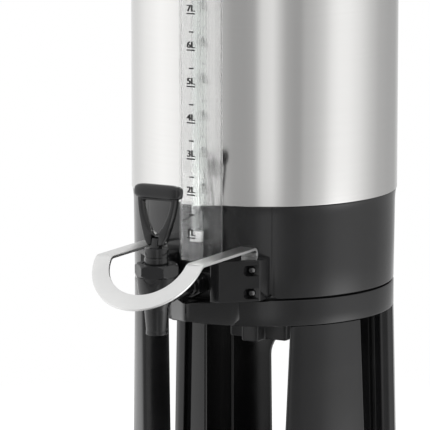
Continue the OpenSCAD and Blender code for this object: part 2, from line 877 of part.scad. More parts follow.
module base_collar() color(black) {
    in_r = collar_foot_r - collar_wall;
    groove_r = collar_foot_r - groove_depth;
    floor_top = deck_z + collar_floor_t;
    neck = collar_top - collar_lip_h;
    flare = collar_lip_r - collar_neck_r;
    spigot_out = shell_r - shell_wall - gap;
    difference() {
        rotate_extrude() {
            polygon(concat([[in_r, collar_z], [collar_foot_r, collar_z]],
                [for (i = [0:lip_steps]) [collar_neck_r + flare * pow(i / lip_steps, 2),
                    neck + collar_lip_h * i / lip_steps]],
                [[ledge_r, collar_top], [ledge_r, collar_top - ledge_t],
                    [in_r, collar_top - ledge_t]]));
            polygon([[0, deck_z], [groove_r, deck_z], [groove_r, collar_z], [in_r + gap, collar_z],
                [in_r + gap, floor_top], [0, floor_top]]);
            translate([spigot_out - collar_spigot_t, collar_top - gap])
                square([collar_spigot_t, collar_spigot_h + gap]);
        }
        translate([0, 0, deck_z - cut]) cylinder(r = stud_r + gap, h = collar_floor_t + 2 * cut);
        along_y(thread_r + gap, in_r - collar_wall, collar_foot_r + collar_wall, tap_z);
        translate([-window_half_w, -collar_foot_r - collar_wall, gauge_port_z - window_h / 2])
            cube([2 * window_half_w, 3 * collar_wall, window_h]);
        for (side = [0, 1]) mirror([side, 0, 0]) translate([guard_r - gap, -collar_lip_r, tab_z - gap])
            cube([guard_w + 2 * gap, collar_lip_r - tab_reach + guard_t + run,
                guard_z - tab_z + 2 * gap]);
    }
}

module outer_shell() color(steel)
    translate([0, 0, collar_top]) tube(shell_r, shell_r - shell_wall, shell_h);

module inner_liner() color(bright) difference() {
    union() {
        bowl(liner_r + liner_wall, liner_z - liner_wall, rim_z, liner_corner_r + liner_wall);
        translate([0, 0, rim_z - liner_wall])
            cylinder(r = liner_r + liner_flange_w, h = liner_wall);
    }
    bowl(liner_r, liner_z, rim_z + cut, liner_corner_r);
    translate([0, -drain_reach, liner_z - liner_wall - cut])
        cylinder(r = drain_r + run, h = liner_wall + 2 * cut);
    along_y(stub_r + run, liner_r - liner_corner_r, shell_r, gauge_port_z);
}

module insulation() color(foam)
    translate([0, 0, collar_top + collar_spigot_h + gap])
        tube(shell_r - shell_wall - foam_gap, liner_r + liner_wall + foam_gap,
            shell_top - collar_top - collar_spigot_h - 2 * gap);

// Drain from the vessel to the tap

module drain_elbow() color(bright) {
    top = liner_z + drain_rim;
    foot = tap_z - pipe_r - soft;
    difference() {
        union() {
            translate([0, -drain_reach, foot]) cylinder(r = drain_r, h = top - foot);
            along_y(pipe_r, drain_reach, flange_reach + cut, tap_z);
            along_y(flange_r, flange_reach, flange_reach + flange_t, tap_z);
            along_y(thread_r, flange_reach, thread_end, tap_z);
        }
        translate([0, -drain_reach, tap_z]) cylinder(r = drain_bore_r, h = top - tap_z + cut);
        along_y(pipe_bore_r, drain_reach, thread_end + cut, tap_z);
    }
}

module ring_y(r, bore, y0, y1, z) {
    difference() {
        along_y(r, y0, y1, z);
        along_y(bore, y0 - cut, y1 + cut, z);
    }
}

module drain_seal() color(silicone) {
    y0 = flange_reach + flange_t;
    ring_y(flange_r, thread_r + run, y0, y0 + seal_t, tap_z);
}

module shank_gasket() color(silicone)
    ring_y(thread_r - run, pipe_bore_r, thread_end, thread_end + gasket_t, tap_z);

module union_nut() color(black) difference() {
    translate([0, -nut_reach, tap_z]) rotate([90, 0, 0]) cylinder(d = nut_w, h = nut_len, $fn = 6);
    along_y(thread_r + run, nut_reach - cut, nut_reach + nut_len - nut_lip, tap_z);
    along_y(thread_r - soft + run, nut_reach, nut_reach + nut_len + cut, tap_z);
}

// Tap

module tap_body() color(black) {
    tail = thread_r - soft;
    collar_y = thread_end + gasket_t;
    lip_in = nut_reach + nut_len - nut_lip;
    difference() {
        union() {
            translate([0, -tap_reach, 0]) rotate_extrude() polygon([[0, outlet_z],
                [outlet_r + outlet_lip_t, outlet_z],
                [outlet_r + outlet_lip_t, outlet_z + outlet_lip_h],
                [outlet_r, outlet_z + outlet_lip_h + outlet_lip_t],
                [waist_r, tap_top_z - waist_drop], [bell_r, tap_top_z - bell_drop],
                [tap_top_r, tap_top_z], [0, tap_top_z]]);
            along_y(shank_r, nut_reach + nut_len + gap, tap_reach, tap_z);
            along_y(tail, collar_y, tap_reach, tap_z);
            along_y(thread_r - run, collar_y, lip_in - gap, tap_z);
        }
        translate([0, -tap_reach, 0]) rotate_extrude() polygon([[0, outlet_z - cut],
            [outlet_bore_r, outlet_z - cut], [outlet_bore_r, tap_z - seat_drop],
            [seat_bore_r, tap_z - seat_drop], [chamber_r, tap_top_z - chamber_drop],
            [chamber_r, tap_top_z + cut], [0, tap_top_z + cut]]);
        along_y(pipe_bore_r, collar_y - cut, tap_reach - seat_bore_r, tap_z);
    }
}

module at_tap(z) {
    translate([0, -tap_reach, z]) children();
}

module bonnet_nut() color(black) at_tap(tap_top_z) difference() {
    union() {
        intersection() {
            rotate([0, 0, bonnet_turn]) cylinder(d = bonnet_w, h = bonnet_h, $fn = 6);
            rotate_extrude() polygon([[0, 0], [bonnet_w / 2 - bonnet_chamfer, 0],
                [bonnet_w / 2, bonnet_chamfer], [bonnet_w / 2, bonnet_h - bonnet_chamfer],
                [bonnet_w / 2 - 2 * bonnet_chamfer, bonnet_h], [0, bonnet_h]]);
        }
        translate([0, 0, -bonnet_skirt_h]) cylinder(r = chamber_r - run, h = bonnet_skirt_h + cut);
    }
    translate([0, 0, -bonnet_skirt_h - cut])
        cylinder(r = spigot_r + run, h = bonnet_skirt_h + bonnet_h + 2 * cut);
}

module bonnet_neck() color(black) at_tap(tap_top_z) {
    top = neck_top - tap_top_z;
    difference() {
        union() {
            translate([0, 0, -bonnet_skirt_h]) cylinder(r = spigot_r, h = bonnet_skirt_h + top);
            translate([0, 0, bonnet_h]) cylinder(r = neck_r, h = neck_h);
            translate([-lug_half_w, -hub_r, top - cut]) cube([2 * lug_half_w, 2 * hub_r,
                pivot_rise + cut - lug_r]);
            translate([-lug_half_w, -lug_r, top]) cube([2 * lug_half_w, 2 * lug_r, pivot_rise]);
            translate([-lug_half_w, 0, top + pivot_rise]) rotate([0, 90, 0])
                cylinder(r = lug_r, h = 2 * lug_half_w);
        }
        translate([0, 0, -bonnet_skirt_h - cut])
            cylinder(r = spring_room_r, h = bonnet_skirt_h + top - spring_cap_t + cut);
        cylinder(r = stem_r + run, h = top - gap);
        translate([-lug_half_w - cut, 0, top + pivot_rise]) rotate([0, 90, 0])
            cylinder(r = pin_r, h = 2 * (lug_half_w + cut));
    }
}

// Upper end of the stem, which stays inside the neck at full lift
stem_top = neck_top - stem_lift - stem_gap;
stem_foot = tap_z - seat_drop + cup_h;

module tap_stem() color(bright) {
    at_tap(stem_foot - cup_h / 2) cylinder(r = stem_r, h = stem_top - stem_foot + cup_h / 2);
    at_tap(stem_foot + run) cylinder(r = stem_foot_r, h = stem_foot_t);
}

module seat_cup() color(silicone) at_tap(tap_z - seat_drop + run) difference() {
    cylinder(r = cup_r, h = cup_h);
    translate([0, 0, cup_h / 2 - 2 * run]) cylinder(r = stem_r + run, h = cup_h);
}

// One closed coil about Z whose ends lie level with its first and last turn
module return_spring() color(bright) {
    z0 = stem_foot + stem_foot_t + spring_wire_r + 2 * run;
    z1 = neck_top - spring_cap_t - spring_wire_r - run;
    count = spring_turns * spring_steps;
    rings = [for (i = [0:count]) let (a = 360 * i / spring_steps)
        for (k = [0:spring_sides - 1]) let (b = 360 * k / spring_sides,
            r = spring_r + spring_wire_r * cos(b))
            [r * cos(a), r * sin(a), z0 + (z1 - z0) * i / count + spring_wire_r * sin(b)]];
    sides = [for (i = [0:count - 1], k = [0:spring_sides - 1]) let (n = (k + 1) % spring_sides,
        p = i * spring_sides)
        [p + k, p + spring_sides + k, p + spring_sides + n, p + n]];
    first = [for (k = [0:spring_sides - 1]) k];
    last = [for (k = [spring_sides - 1:-1:0]) count * spring_sides + k];
    at_tap(0) polyhedron(rings, concat(sides, [first, last]));
}

// Half width of the handle's loop at a height above its foot
function loop_w(h, full) = loop_foot_w + (loop_half_w - loop_foot_w) * sin(90 * h / full);

module tap_handle() color(black) {
    foot = -hub_r;
    top = bar_rise;
    full = top - foot;
    window_top = bar_rise - bar_h / 2;
    window_h_in = window_top - window_rise;
    outline_half = [for (i = [0:loop_steps]) let (h = full * i / loop_steps)
        [loop_w(h, full), foot + h]];
    window_half = [for (i = [0:loop_steps]) let (s = i / loop_steps,
        z = window_rise + window_h_in * s,
        w = loop_w(z - foot, full) - limb_t)
        [w * pow(1 - pow(1 - s, window_power), 1 / window_power), z]];
    at_tap(pivot_z) rotate([-handle_lean, 0, 0]) difference() {
        union() {
            translate([0, loop_depth / 2, 0]) rotate([90, 0, 0]) linear_extrude(loop_depth)
                difference() {
                    polygon(concat(outline_half, [for (i = [loop_steps:-1:0])
                        [-outline_half[i][0], outline_half[i][1]]]));
                    polygon(concat(window_half, [for (i = [loop_steps:-1:1])
                        [-window_half[i][0], window_half[i][1]]]));
                }
            translate([0, 0, bar_rise]) {
                rotate([0, 90, 0]) translate([0, 0, -bar_len / 2 + bar_h / 2])
                    cylinder(d = bar_h, h = bar_len - bar_h);
                for (side = [-1, 1]) translate([side * (bar_len - bar_h) / 2, 0, 0])
                    sphere(d = bar_h);
            }
        }
        translate([-lug_half_w - lug_gap, -loop_depth, foot - cut])
            cube([2 * (lug_half_w + lug_gap), 2 * loop_depth, cut + hub_r + lug_r + 2 * lug_gap]);
        translate([-loop_half_w, 0, 0]) rotate([0, 90, 0])
            cylinder(r = pin_r, h = 2 * loop_half_w);
        for (side = [-1, 1]) translate([side > 0 ? lug_half_w : -loop_half_w, 0, 0])
            difference() {
                translate([0, -loop_depth, foot - cut])
                    cube([loop_half_w - lug_half_w, 2 * loop_depth, hub_r + cut]);
                translate([-cut, 0, 0]) rotate([0, 90, 0])
                    cylinder(r = hub_r, h = loop_half_w + 2 * cut);
            }
    }
}

module handle_pin() color(bright) at_tap(pivot_z)
    translate([-loop_foot_w - soft, 0, 0]) rotate([0, 90, 0])
        cylinder(r = pin_r - run, h = 2 * (loop_foot_w + soft));

// Housing and drip guard

pocket_z = [for (side = [1, -1]) cheek_z + cheek_h * pocket_mid_share + side * pocket_pitch / 2];

module cheek() {
    outer = [cheek_half_w, -cheek_side_reach];
    front = [cheek_gap + cheek_land, -cheek_front_reach];
    inner = [cheek_gap, -cheek_front_reach];
    back = [cheek_gap, -ring_r / 2];
    root = [cheek_half_w, -ring_r / 2];
    end = pocket_x - screw_head_r - gap + pocket_round;
    difference() {
        translate([0, 0, cheek_z]) linear_extrude(cheek_h)
            polygon(concat([root], corner_arc(root, outer, front, soft), [front],
                corner_arc(front, inner, back, cheek_corner_r), [back]));
        translate([0, 0, cheek_z - cut])
            cylinder(r = collar_neck_r + run, h = cheek_h + 2 * cut);
        translate([guard_r - gap, -tab_reach - run, cheek_z - cut])
            cube([guard_w + 2 * gap, ring_r, cheek_h + 2 * cut]);
        translate([guard_r - gap, -tab_reach - run, cheek_z - cut])
            cube([tab_w + 2 * gap, ring_r, tab_top - cheek_z + gap + cut]);
        for (z = pocket_z) {
            translate([end - pocket_round, -2 * ring_r, z - pocket_h / 2 + pocket_round])
                cube([cheek_half_w, 2 * ring_r - pocket_floor, pocket_h - 2 * pocket_round]);
            translate([end, -2 * ring_r, z - pocket_h / 2])
                cube([cheek_half_w, 2 * ring_r - pocket_floor, pocket_h]);
            for (rise = [-1, 1]) along_y(pocket_round, pocket_floor, 2 * ring_r,
                z + rise * (pocket_h / 2 - pocket_round), end);
            along_y(screw_r + run, ring_r / 2, 2 * ring_r, z, pocket_x);
        }
    }
}

module tap_housing() color(black) {
    cheek();
    mirror([1, 0, 0]) cheek();
    difference() {
        translate([-cheek_gap - cut, -collar_neck_r - web_t, cheek_z])
            cube([2 * (cheek_gap + cut), 2 * web_t, web_h]);
        translate([0, 0, cheek_z - cut]) cylinder(r = collar_neck_r + run, h = cheek_h);
        along_y(thread_r + gap, ring_r / 2, 2 * ring_r, tap_z);
    }
}

// One arm of the guard in the Y-Z plane, from the crease back to the bend and down the tab
module guard_arm_profile() {
    bend = guard_bend_r + guard_t;
    front = -tab_reach;
    top = [-guard_reach + 4 * crease_step, guard_z];
    under = [-guard_reach, guard_z - guard_t];
    polygon(concat([top, under],
        corner_arc(under, [front, guard_z - guard_t], [front, tab_z], guard_bend_r),
        [[front, tab_z], [front + guard_t, tab_z]],
        corner_arc([front + guard_t, tab_z], [front + guard_t, guard_z], top, bend)));
}

// The arms end inside the bow, a hair narrower than it, so that no two faces coincide
module guard_strip() color(bright) {
    out_r = guard_r + guard_w;
    for (side = [0, 1]) mirror([side, 0, 0]) difference() {
        union() {
            translate([guard_r + crease_step, 0, 0]) rotate([90, 0, 90])
                linear_extrude(guard_w - 2 * crease_step) guard_arm_profile();
            translate([guard_r + crease_step, -tab_reach, tab_z])
                cube([tab_w - 2 * crease_step, guard_t, tab_top - tab_z]);
        }
        for (z = pocket_z)
            along_y(screw_r + run, tab_reach - guard_t - cut, tab_reach + cut, z, pocket_x);
    }
    translate([0, -guard_reach, guard_z]) rotate([guard_slope, 0, 0]) translate([0, 0, -guard_t])
        difference() {
            cylinder(r = out_r, h = guard_t);
            translate([0, 0, -cut]) cylinder(r = guard_r, h = guard_t + 2 * cut);
            translate([-out_r - cut, 0, -cut])
                cube([2 * (out_r + cut), out_r + cut, guard_t + 2 * cut]);
        }
}

module guard_screws() color(bright)
    for (side = [-1, 1], z = pocket_z) {
        along_y(screw_head_r, pocket_floor, pocket_floor + screw_head_h, z, side * pocket_x);
        along_y(screw_r, tab_reach - guard_t - soft, pocket_floor + cut, z, side * pocket_x);
    }

// Sight gauge

module at_gauge(z) {
    translate([0, -gauge_reach, z]) children();
}

module gauge_stub() color(bright)
    ring_y(stub_r, gauge_bore_r, stub_inner, stub_end, gauge_port_z);

module gauge_elbow() color(black) difference() {
    union() {
        at_gauge(elbow_z) cylinder(r = gland_r, h = gland_z - elbow_z);
        along_y(elbow_r, arm_end, gauge_reach, gauge_port_z);
        along_y(gauge_flange_r, collar_neck_r + gap, gauge_reach - gauge_nut_r - 2 * run,
            gauge_port_z + gauge_flange_rise);
    }
    along_y(stub_r + run, arm_end - cut, stub_end + gap, gauge_port_z);
    along_y(gauge_bore_r, stub_end, gauge_reach, gauge_port_z);
    at_gauge(gauge_port_z) cylinder(r = gauge_bore_r, h = gland_z - gauge_port_z + cut);
    at_gauge(gland_z) cylinder(r = gland_r + run, h = gland_h);
}

module gauge_gland() color(black) at_gauge(gland_z) difference() {
    cylinder(r = gland_r, h = gland_h);
    translate([0, 0, -cut]) cylinder(r = gauge_bore_r, h = gland_h + 2 * cut);
    translate([0, 0, gland_seat]) cylinder(r = tube_r + run, h = gland_h);
    translate([0, 0, gland_h - gauge_seal_h]) cylinder(r = gauge_seal_r + run, h = gland_h);
}

module gauge_seal() color(silicone)
    at_gauge(gland_z + gland_h - gauge_seal_h) tube(gauge_seal_r, tube_r + run, gauge_seal_h);

module gauge_nut() color(bright)
    at_gauge(gauge_nut_z - gap) tube(gauge_nut_r, tube_r + run, gauge_nut_h);

module sight_tube() color(clear, 0.4)
    at_gauge(tube_z) tube(tube_r, tube_r - tube_wall, tube_top - tube_z);

module tube_cap() color(black) difference() {
    union() {
        at_gauge(tube_top - cap_bite) cylinder(r = cap_r, h = cap_h);
        translate([-cap_r, -gauge_reach, tube_top - cap_bite])
            cube([2 * cap_r, gauge_reach - stub_inner, cap_h]);
    }
    translate([0, 0, tube_top - cap_bite - cut]) cylinder(r = shell_r + run, h = cap_h + 2 * cut);
    at_gauge(tube_top - cap_bite - cut) cylinder(r = tube_r + run, h = cap_bite + cut);
    at_gauge(tube_top - cut) cylinder(r = gauge_bore_r, h = cap_h);
    along_y(shield_screw_r + run, gauge_reach, shield_reach, shield_top - shield_screw_drop);
}

// Sideways run of the shield's flanks for each unit of depth, and their half width at a depth
shield_lean = (shield_back_half_w - shield_front_half_w) / (shield_reach - shell_r);
function flank(y, inset) = shield_front_half_w + (shield_reach + y) * shield_lean - inset;

module tube_shield() color(clear, 0.35) {
    slant = shield_t * sqrt(1 + shield_lean * shield_lean);
    back = -ring_r + collar_wall;
    difference() {
        translate([0, 0, shield_z]) linear_extrude(shield_top - shield_z) difference() {
            polygon([[flank(-shield_reach, 0), -shield_reach], [flank(back, 0), back],
                [-flank(back, 0), back], [-flank(-shield_reach, 0), -shield_reach]]);
            polygon([[flank(-shield_reach + shield_t, slant), -shield_reach + shield_t],
                [flank(back + cut, slant), back + cut], [-flank(back + cut, slant), back + cut],
                [-flank(-shield_reach + shield_t, slant), -shield_reach + shield_t]]);
        }
        translate([0, 0, shield_z - cut])
            cylinder(r = shell_r + run, h = shield_top - shield_z + 2 * cut);
        along_y(shield_screw_r + run, gauge_reach, shield_reach + cut,
            shield_top - shield_screw_drop);
    }
}

module shield_screws() color(bright) {
    z = shield_top - shield_screw_drop;
    along_y(shield_screw_head_r, shield_reach, shield_reach + shield_screw_head_h, z);
    along_y(shield_screw_r, shield_reach - shield_screw_len, shield_reach + soft, z);
}

// Rim, carry handles and lid

module handle_mirror(side) {
    mirror([side < 0 ? 1 : 0, 0, 0]) children();
}

module rim_ring() color(black) {
    skirt_z = shell_top - rim_skirt_h;
    difference() {
        union() {
            rotate_extrude() polygon([[rim_bore_r, rim_z], [rim_bore_r, lid_z],
                [rim_r - soft, lid_z], [rim_r, lid_z - soft], [rim_r, skirt_z],
                [shell_r + gap, skirt_z], [shell_r + gap, rim_z]]);
            for (side = [-1, 1]) handle_mirror(side)
                translate([shell_r / 2, -pad_half_w, rim_z - pad_drop])
                    cube([pad_out - shell_r / 2, 2 * pad_half_w, pad_drop + pad_rise]);
        }
        translate([0, 0, rim_z - pad_drop - cut])
            cylinder(r = shell_r + gap, h = pad_drop + cut);
        translate([0, 0, rim_z - cut]) cylinder(r = rim_bore_r, h = rim_t + 2 * cut);
        for (side = [-1, 1], y = [-handle_screw_y, handle_screw_y]) handle_mirror(side)
            translate([pad_out - handle_screw_bite, y, grip_z]) rotate([0, 90, 0])
                cylinder(r = handle_screw_r + run, h = handle_screw_bite + cut);
    }
}

module carry_handle(side) {
    plate_h = pad_drop + pad_rise;
    handle_mirror(side) difference() {
        union() {
            translate([pad_out, -pad_half_w, rim_z - pad_drop])
                cube([handle_plate_t, 2 * pad_half_w, plate_h]);
            for (y = [-1, 1]) translate([pad_out, y * (grip_half_len - arm_w / 2) - arm_w / 2,
                grip_z - arm_t / 2]) cube([grip_reach - pad_out, arm_w, arm_t]);
            translate([grip_reach, grip_half_len, grip_z]) rotate([90, 0, 0])
                cylinder(r = grip_r, h = 2 * grip_half_len);
        }
        for (y = [-handle_screw_y, handle_screw_y]) translate([pad_out, y, grip_z])
            rotate([0, 90, 0]) {
                translate([0, 0, -cut])
                    cylinder(r = handle_screw_r + run, h = handle_plate_t + 2 * cut);
                translate([0, 0, handle_plate_t - handle_screw_head_h])
                    cylinder(r = handle_screw_head_r + run, h = handle_plate_t);
            }
    }
}

module carry_handle_left() color(black) carry_handle(-1);

module carry_handle_right() color(black) carry_handle(1);

module handle_screws() color(bright)
    for (side = [-1, 1], y = [-handle_screw_y, handle_screw_y]) handle_mirror(side)
        translate([pad_out + handle_plate_t - handle_screw_head_h, y, grip_z]) rotate([0, 90, 0]) {
            cylinder(r = handle_screw_head_r, h = handle_screw_head_h - gap);
            shank = handle_plate_t - handle_screw_head_h + handle_screw_bite - gap;
            translate([0, 0, -shank]) cylinder(r = handle_screw_r, h = shank + gap);
        }

module lid_cover() color(black) difference() {
    rotate_extrude() intersection() {
        union() {
            translate([0, lid_z]) square([lid_r, lid_h - lid_edge_r]);
            translate([0, lid_z]) square([lid_r - lid_edge_r, lid_h]);
            translate([lid_r - lid_edge_r, lid_top - lid_edge_r]) circle(r = lid_edge_r);
        }
        translate([0, lid_z]) square([lid_r, lid_h]);
    }
    translate([0, 0, lid_z - cut]) cylinder(r = plug_r - plug_wall, h = lid_h - lid_wall + cut);
    translate([0, 0, lid_z]) cylinder(r = lid_screw_r + run, h = lid_h + cut);
}

module lid_plug() color(steel) {
    foot = lid_z - plug_depth;
    translate([0, 0, foot]) difference() {
        union() {
            cylinder(r = plug_r, h = plug_depth);
            for (z = [lid_gasket_drop + lid_gasket_h, lid_gasket_drop - lid_bead_t])
                translate([0, 0, plug_depth - z])
                    cylinder(r = plug_r + lid_bead_t, h = lid_bead_t - gap);
        }
        translate([0, 0, plug_wall]) cylinder(r = plug_r - plug_wall, h = plug_depth);
    }
}

module lid_foam() color(foam) {
    foot = lid_z - plug_depth + plug_wall + gap;
    difference() {
        translate([0, 0, foot])
            cylinder(r = plug_r - plug_wall - gap, h = lid_top - lid_wall - gap - foot);
        translate([0, 0, lid_top - lid_wall - lid_screw_head_h - 2 * gap])
            cylinder(r = lid_screw_head_r + gap, h = lid_h);
    }
}

module lid_gasket() color(silicone)
    translate([0, 0, lid_z - lid_gasket_drop - lid_gasket_h + lid_bead_t])
        tube(liner_r - gap, plug_r + run, lid_gasket_h - lid_bead_t);

module lid_knob() color(black) translate([0, 0, lid_top]) difference() {
    rotate_extrude() intersection() {
        union() {
            square([knob_stem_r, lid_knob_h]);
            translate([0, knob_stem_h]) square([lid_knob_r - lid_edge_r, lid_knob_h - knob_stem_h]);
            translate([0, knob_stem_h + lid_edge_r])
                square([lid_knob_r, lid_knob_h - knob_stem_h - 2 * lid_edge_r]);
            for (z = [knob_stem_h + lid_edge_r, lid_knob_h - lid_edge_r])
                translate([lid_knob_r - lid_edge_r, z]) circle(r = lid_edge_r);
        }
        square([lid_knob_r, lid_knob_h]);
    }
    translate([0, 0, -cut]) cylinder(r = lid_screw_r, h = lid_screw_bite + cut + gap);
}

module lid_screw() color(bright) {
    translate([0, 0, lid_top - lid_wall - lid_screw_head_h])
        cylinder(r = lid_screw_head_r, h = lid_screw_head_h);
    translate([0, 0, lid_top - lid_wall - soft])
        cylinder(r = lid_screw_r - run, h = lid_wall + soft + lid_screw_bite);
}

foot_plate();
rubber_pads();
drip_tray();
drip_grid();
front_leg_left();
front_leg_right();
rear_legs();
leg_screws();
stand_ring();
ring_nose();
clamp_washer();
clamp_knob();
clamp_stud();
base_collar();
outer_shell();
inner_liner();
insulation();
drain_elbow();
drain_seal();
shank_gasket();
union_nut();
tap_body();
bonnet_nut();
bonnet_neck();
tap_stem();
seat_cup();
return_spring();
tap_handle();
handle_pin();
tap_housing();
guard_strip();
guard_screws();
gauge_stub();
gauge_elbow();
gauge_gland();
gauge_seal();
gauge_nut();
sight_tube();
tube_cap();
tube_shield();
shield_screws();
rim_ring();
carry_handle_left();
carry_handle_right();
handle_screws();
lid_cover();
lid_plug();
lid_foam();
lid_gasket();
lid_knob();
lid_screw();
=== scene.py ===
"""Insulated beverage dispenser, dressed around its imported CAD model.

Lengths in the property groups are in metres. The mesh code works in millimetres in the frame of
the CAD: the vessel's axis is Z, the table is z = 0 and the tap points along -Y. The heights and
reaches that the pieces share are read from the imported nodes.
"""
import math

import bmesh
import bpy
from bpy.props import FloatProperty, FloatVectorProperty, IntProperty, PointerProperty
from bpy.types import Operator, Panel, PropertyGroup
from mathutils import Matrix, Vector
from mathutils.geometry import tessellate_polygon


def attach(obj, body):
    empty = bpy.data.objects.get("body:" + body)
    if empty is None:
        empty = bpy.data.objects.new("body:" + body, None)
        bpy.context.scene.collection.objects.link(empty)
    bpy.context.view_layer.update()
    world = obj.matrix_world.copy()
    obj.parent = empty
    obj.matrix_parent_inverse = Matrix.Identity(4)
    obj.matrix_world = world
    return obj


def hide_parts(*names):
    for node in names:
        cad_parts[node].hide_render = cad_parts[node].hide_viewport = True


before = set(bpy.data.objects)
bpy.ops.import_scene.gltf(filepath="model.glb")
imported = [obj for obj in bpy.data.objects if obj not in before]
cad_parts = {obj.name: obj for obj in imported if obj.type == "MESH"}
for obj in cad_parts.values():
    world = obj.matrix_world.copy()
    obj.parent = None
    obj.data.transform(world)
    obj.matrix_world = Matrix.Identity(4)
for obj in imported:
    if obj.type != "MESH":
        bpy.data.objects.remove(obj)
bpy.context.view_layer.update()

bl_info = {
    "name": "Insulated beverage dispenser",
    "version": (1, 0, 0),
    "blender": (4, 5, 0),
    "location": "3D View > Sidebar > Dispenser",
    "description": "Adds the pieces, finishes and studio of an insulated beverage dispenser",
    "category": "Object",
}

MM = 0.001
X, Y, Z = range(3)


def span(name, axis):
    """Both ends of a CAD node along an axis, in millimetres to one decimal place."""
    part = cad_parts[name]
    ends = [(part.matrix_world @ Vector(corner))[axis] / MM for corner in part.bound_box]
    return round(min(ends), 1), round(max(ends), 1)


def halfway(name, axis):
    """Middle of a CAD node along an axis."""
    return sum(span(name, axis)) / 2


# Heights of the main pieces, from the table up
PLATE_Z, FOOT_TOP = span("foot_plate", Z)
TRAY_TOP = span("drip_tray", Z)[1]
GRID_Z, GRID_TOP = span("drip_grid", Z)
KNOB_Z, KNOB_TOP = span("clamp_knob", Z)
RING_Z, DECK_Z = span("stand_ring", Z)
LEG_TOP = RING_Z - 0.4
TONGUE_TOP = span("rear_legs", Z)[1]
COLLAR_Z = DECK_Z + 1.5
COLLAR_TOP, SHELL_TOP = span("outer_shell", Z)
CHEEK_Z, CHEEK_TOP = span("tap_housing", Z)
SKIRT_Z, LID_Z = span("rim_ring", Z)
PAD_Z, PAD_TOP = span("carry_handle_left", Z)
HANDLE_Z = (PAD_Z + PAD_TOP) / 2
RIM_Z = span("inner_liner", Z)[1]
LID_TOP = span("lid_cover", Z)[1]
GRIP_TOP = span("lid_knob", Z)[1]

# Radii and reaches of the main pieces
RING_R = span("stand_ring", X)[1]
SHELL_R = span("outer_shell", X)[1]
COLLAR_NECK_R = SHELL_R - 1.7
# Inside of the collar and of the ring's skirt, and where pieces in front of them start
INNER_R = 110
HIDDEN_R = 112
STUD_HOLE_R = 5.3
PAD_X = span("rim_ring", X)[1]
PAD_HALF = 50
HANDLE_ARM_Y = 46

# Legs
LEG_WALL = 3
FRONT_LEG_ANGLE = 57.75
FRONT_LEG_IN_R = 87.2
FLANGE_TURN = math.radians(31)
REAR_LEG_ANGLES = (108.7, 133)
REAR_FLARE = 6
LEG_FOOT = (FOOT_TOP + 0.3, FOOT_TOP + 4)
# Heights of a leg's upper loops, each with the inset that rounds its rim
LEG_RIM = [(LEG_TOP - 0.8, 0), (LEG_TOP - 0.2, 0.25), (LEG_TOP, 0.6)]

# Tap, housing and guard
TAP_Y = halfway("bonnet_neck", Y)
TAP_Z = halfway("union_nut", Z)
TAP_LOW_Z, TAP_TOP_Z = span("tap_body", Z)
NUT_TOP = span("bonnet_nut", Z)[1]
NECK_TOP = NUT_TOP + 13.5
PIVOT_Z = halfway("handle_pin", Z)
SCREW_ROWS = (301.54, 281.94)
SCREW_SEAT = 115.9
GUARD_W = 15.2
GUARD_T = 2.5
GUARD_MID = 35.7 + GUARD_W / 2
GUARD_LOW_Z, GUARD_TOP = span("guard_strip", Z)

# Gauge
GAUGE_Y = halfway("sight_tube", Y)
GAUGE_PORT_Z = halfway("gauge_stub", Z)
TUBE_Z, TUBE_TOP = span("sight_tube", Z)
GLAND_Z = span("gauge_gland", Z)[0]
SHIELD_Z, SHIELD_TOP = span("tube_shield", Z)
SHIELD_Y = span("tube_shield", Y)[0]

# Least radius of an open outline that is turned into a solid
CORE_R = 0.01

# Steps round a turned piece
BIG_STEPS = 256
MAIN_STEPS = 128
MID_STEPS = 96
SMALL_STEPS = 64


# Mesh helpers


def bearings(steps):
    """Directions evenly round a circle."""
    return [2 * math.pi * k / steps for k in range(steps)]


def ease(share):
    """A share from 0 to 1 with a soft start and a soft end."""
    share = min(1, max(0, share))
    return share * share * (3 - 2 * share)


def turned(angle, axis):
    """A turn about an axis, in degrees."""
    return Matrix.Rotation(math.radians(angle), 4, axis)


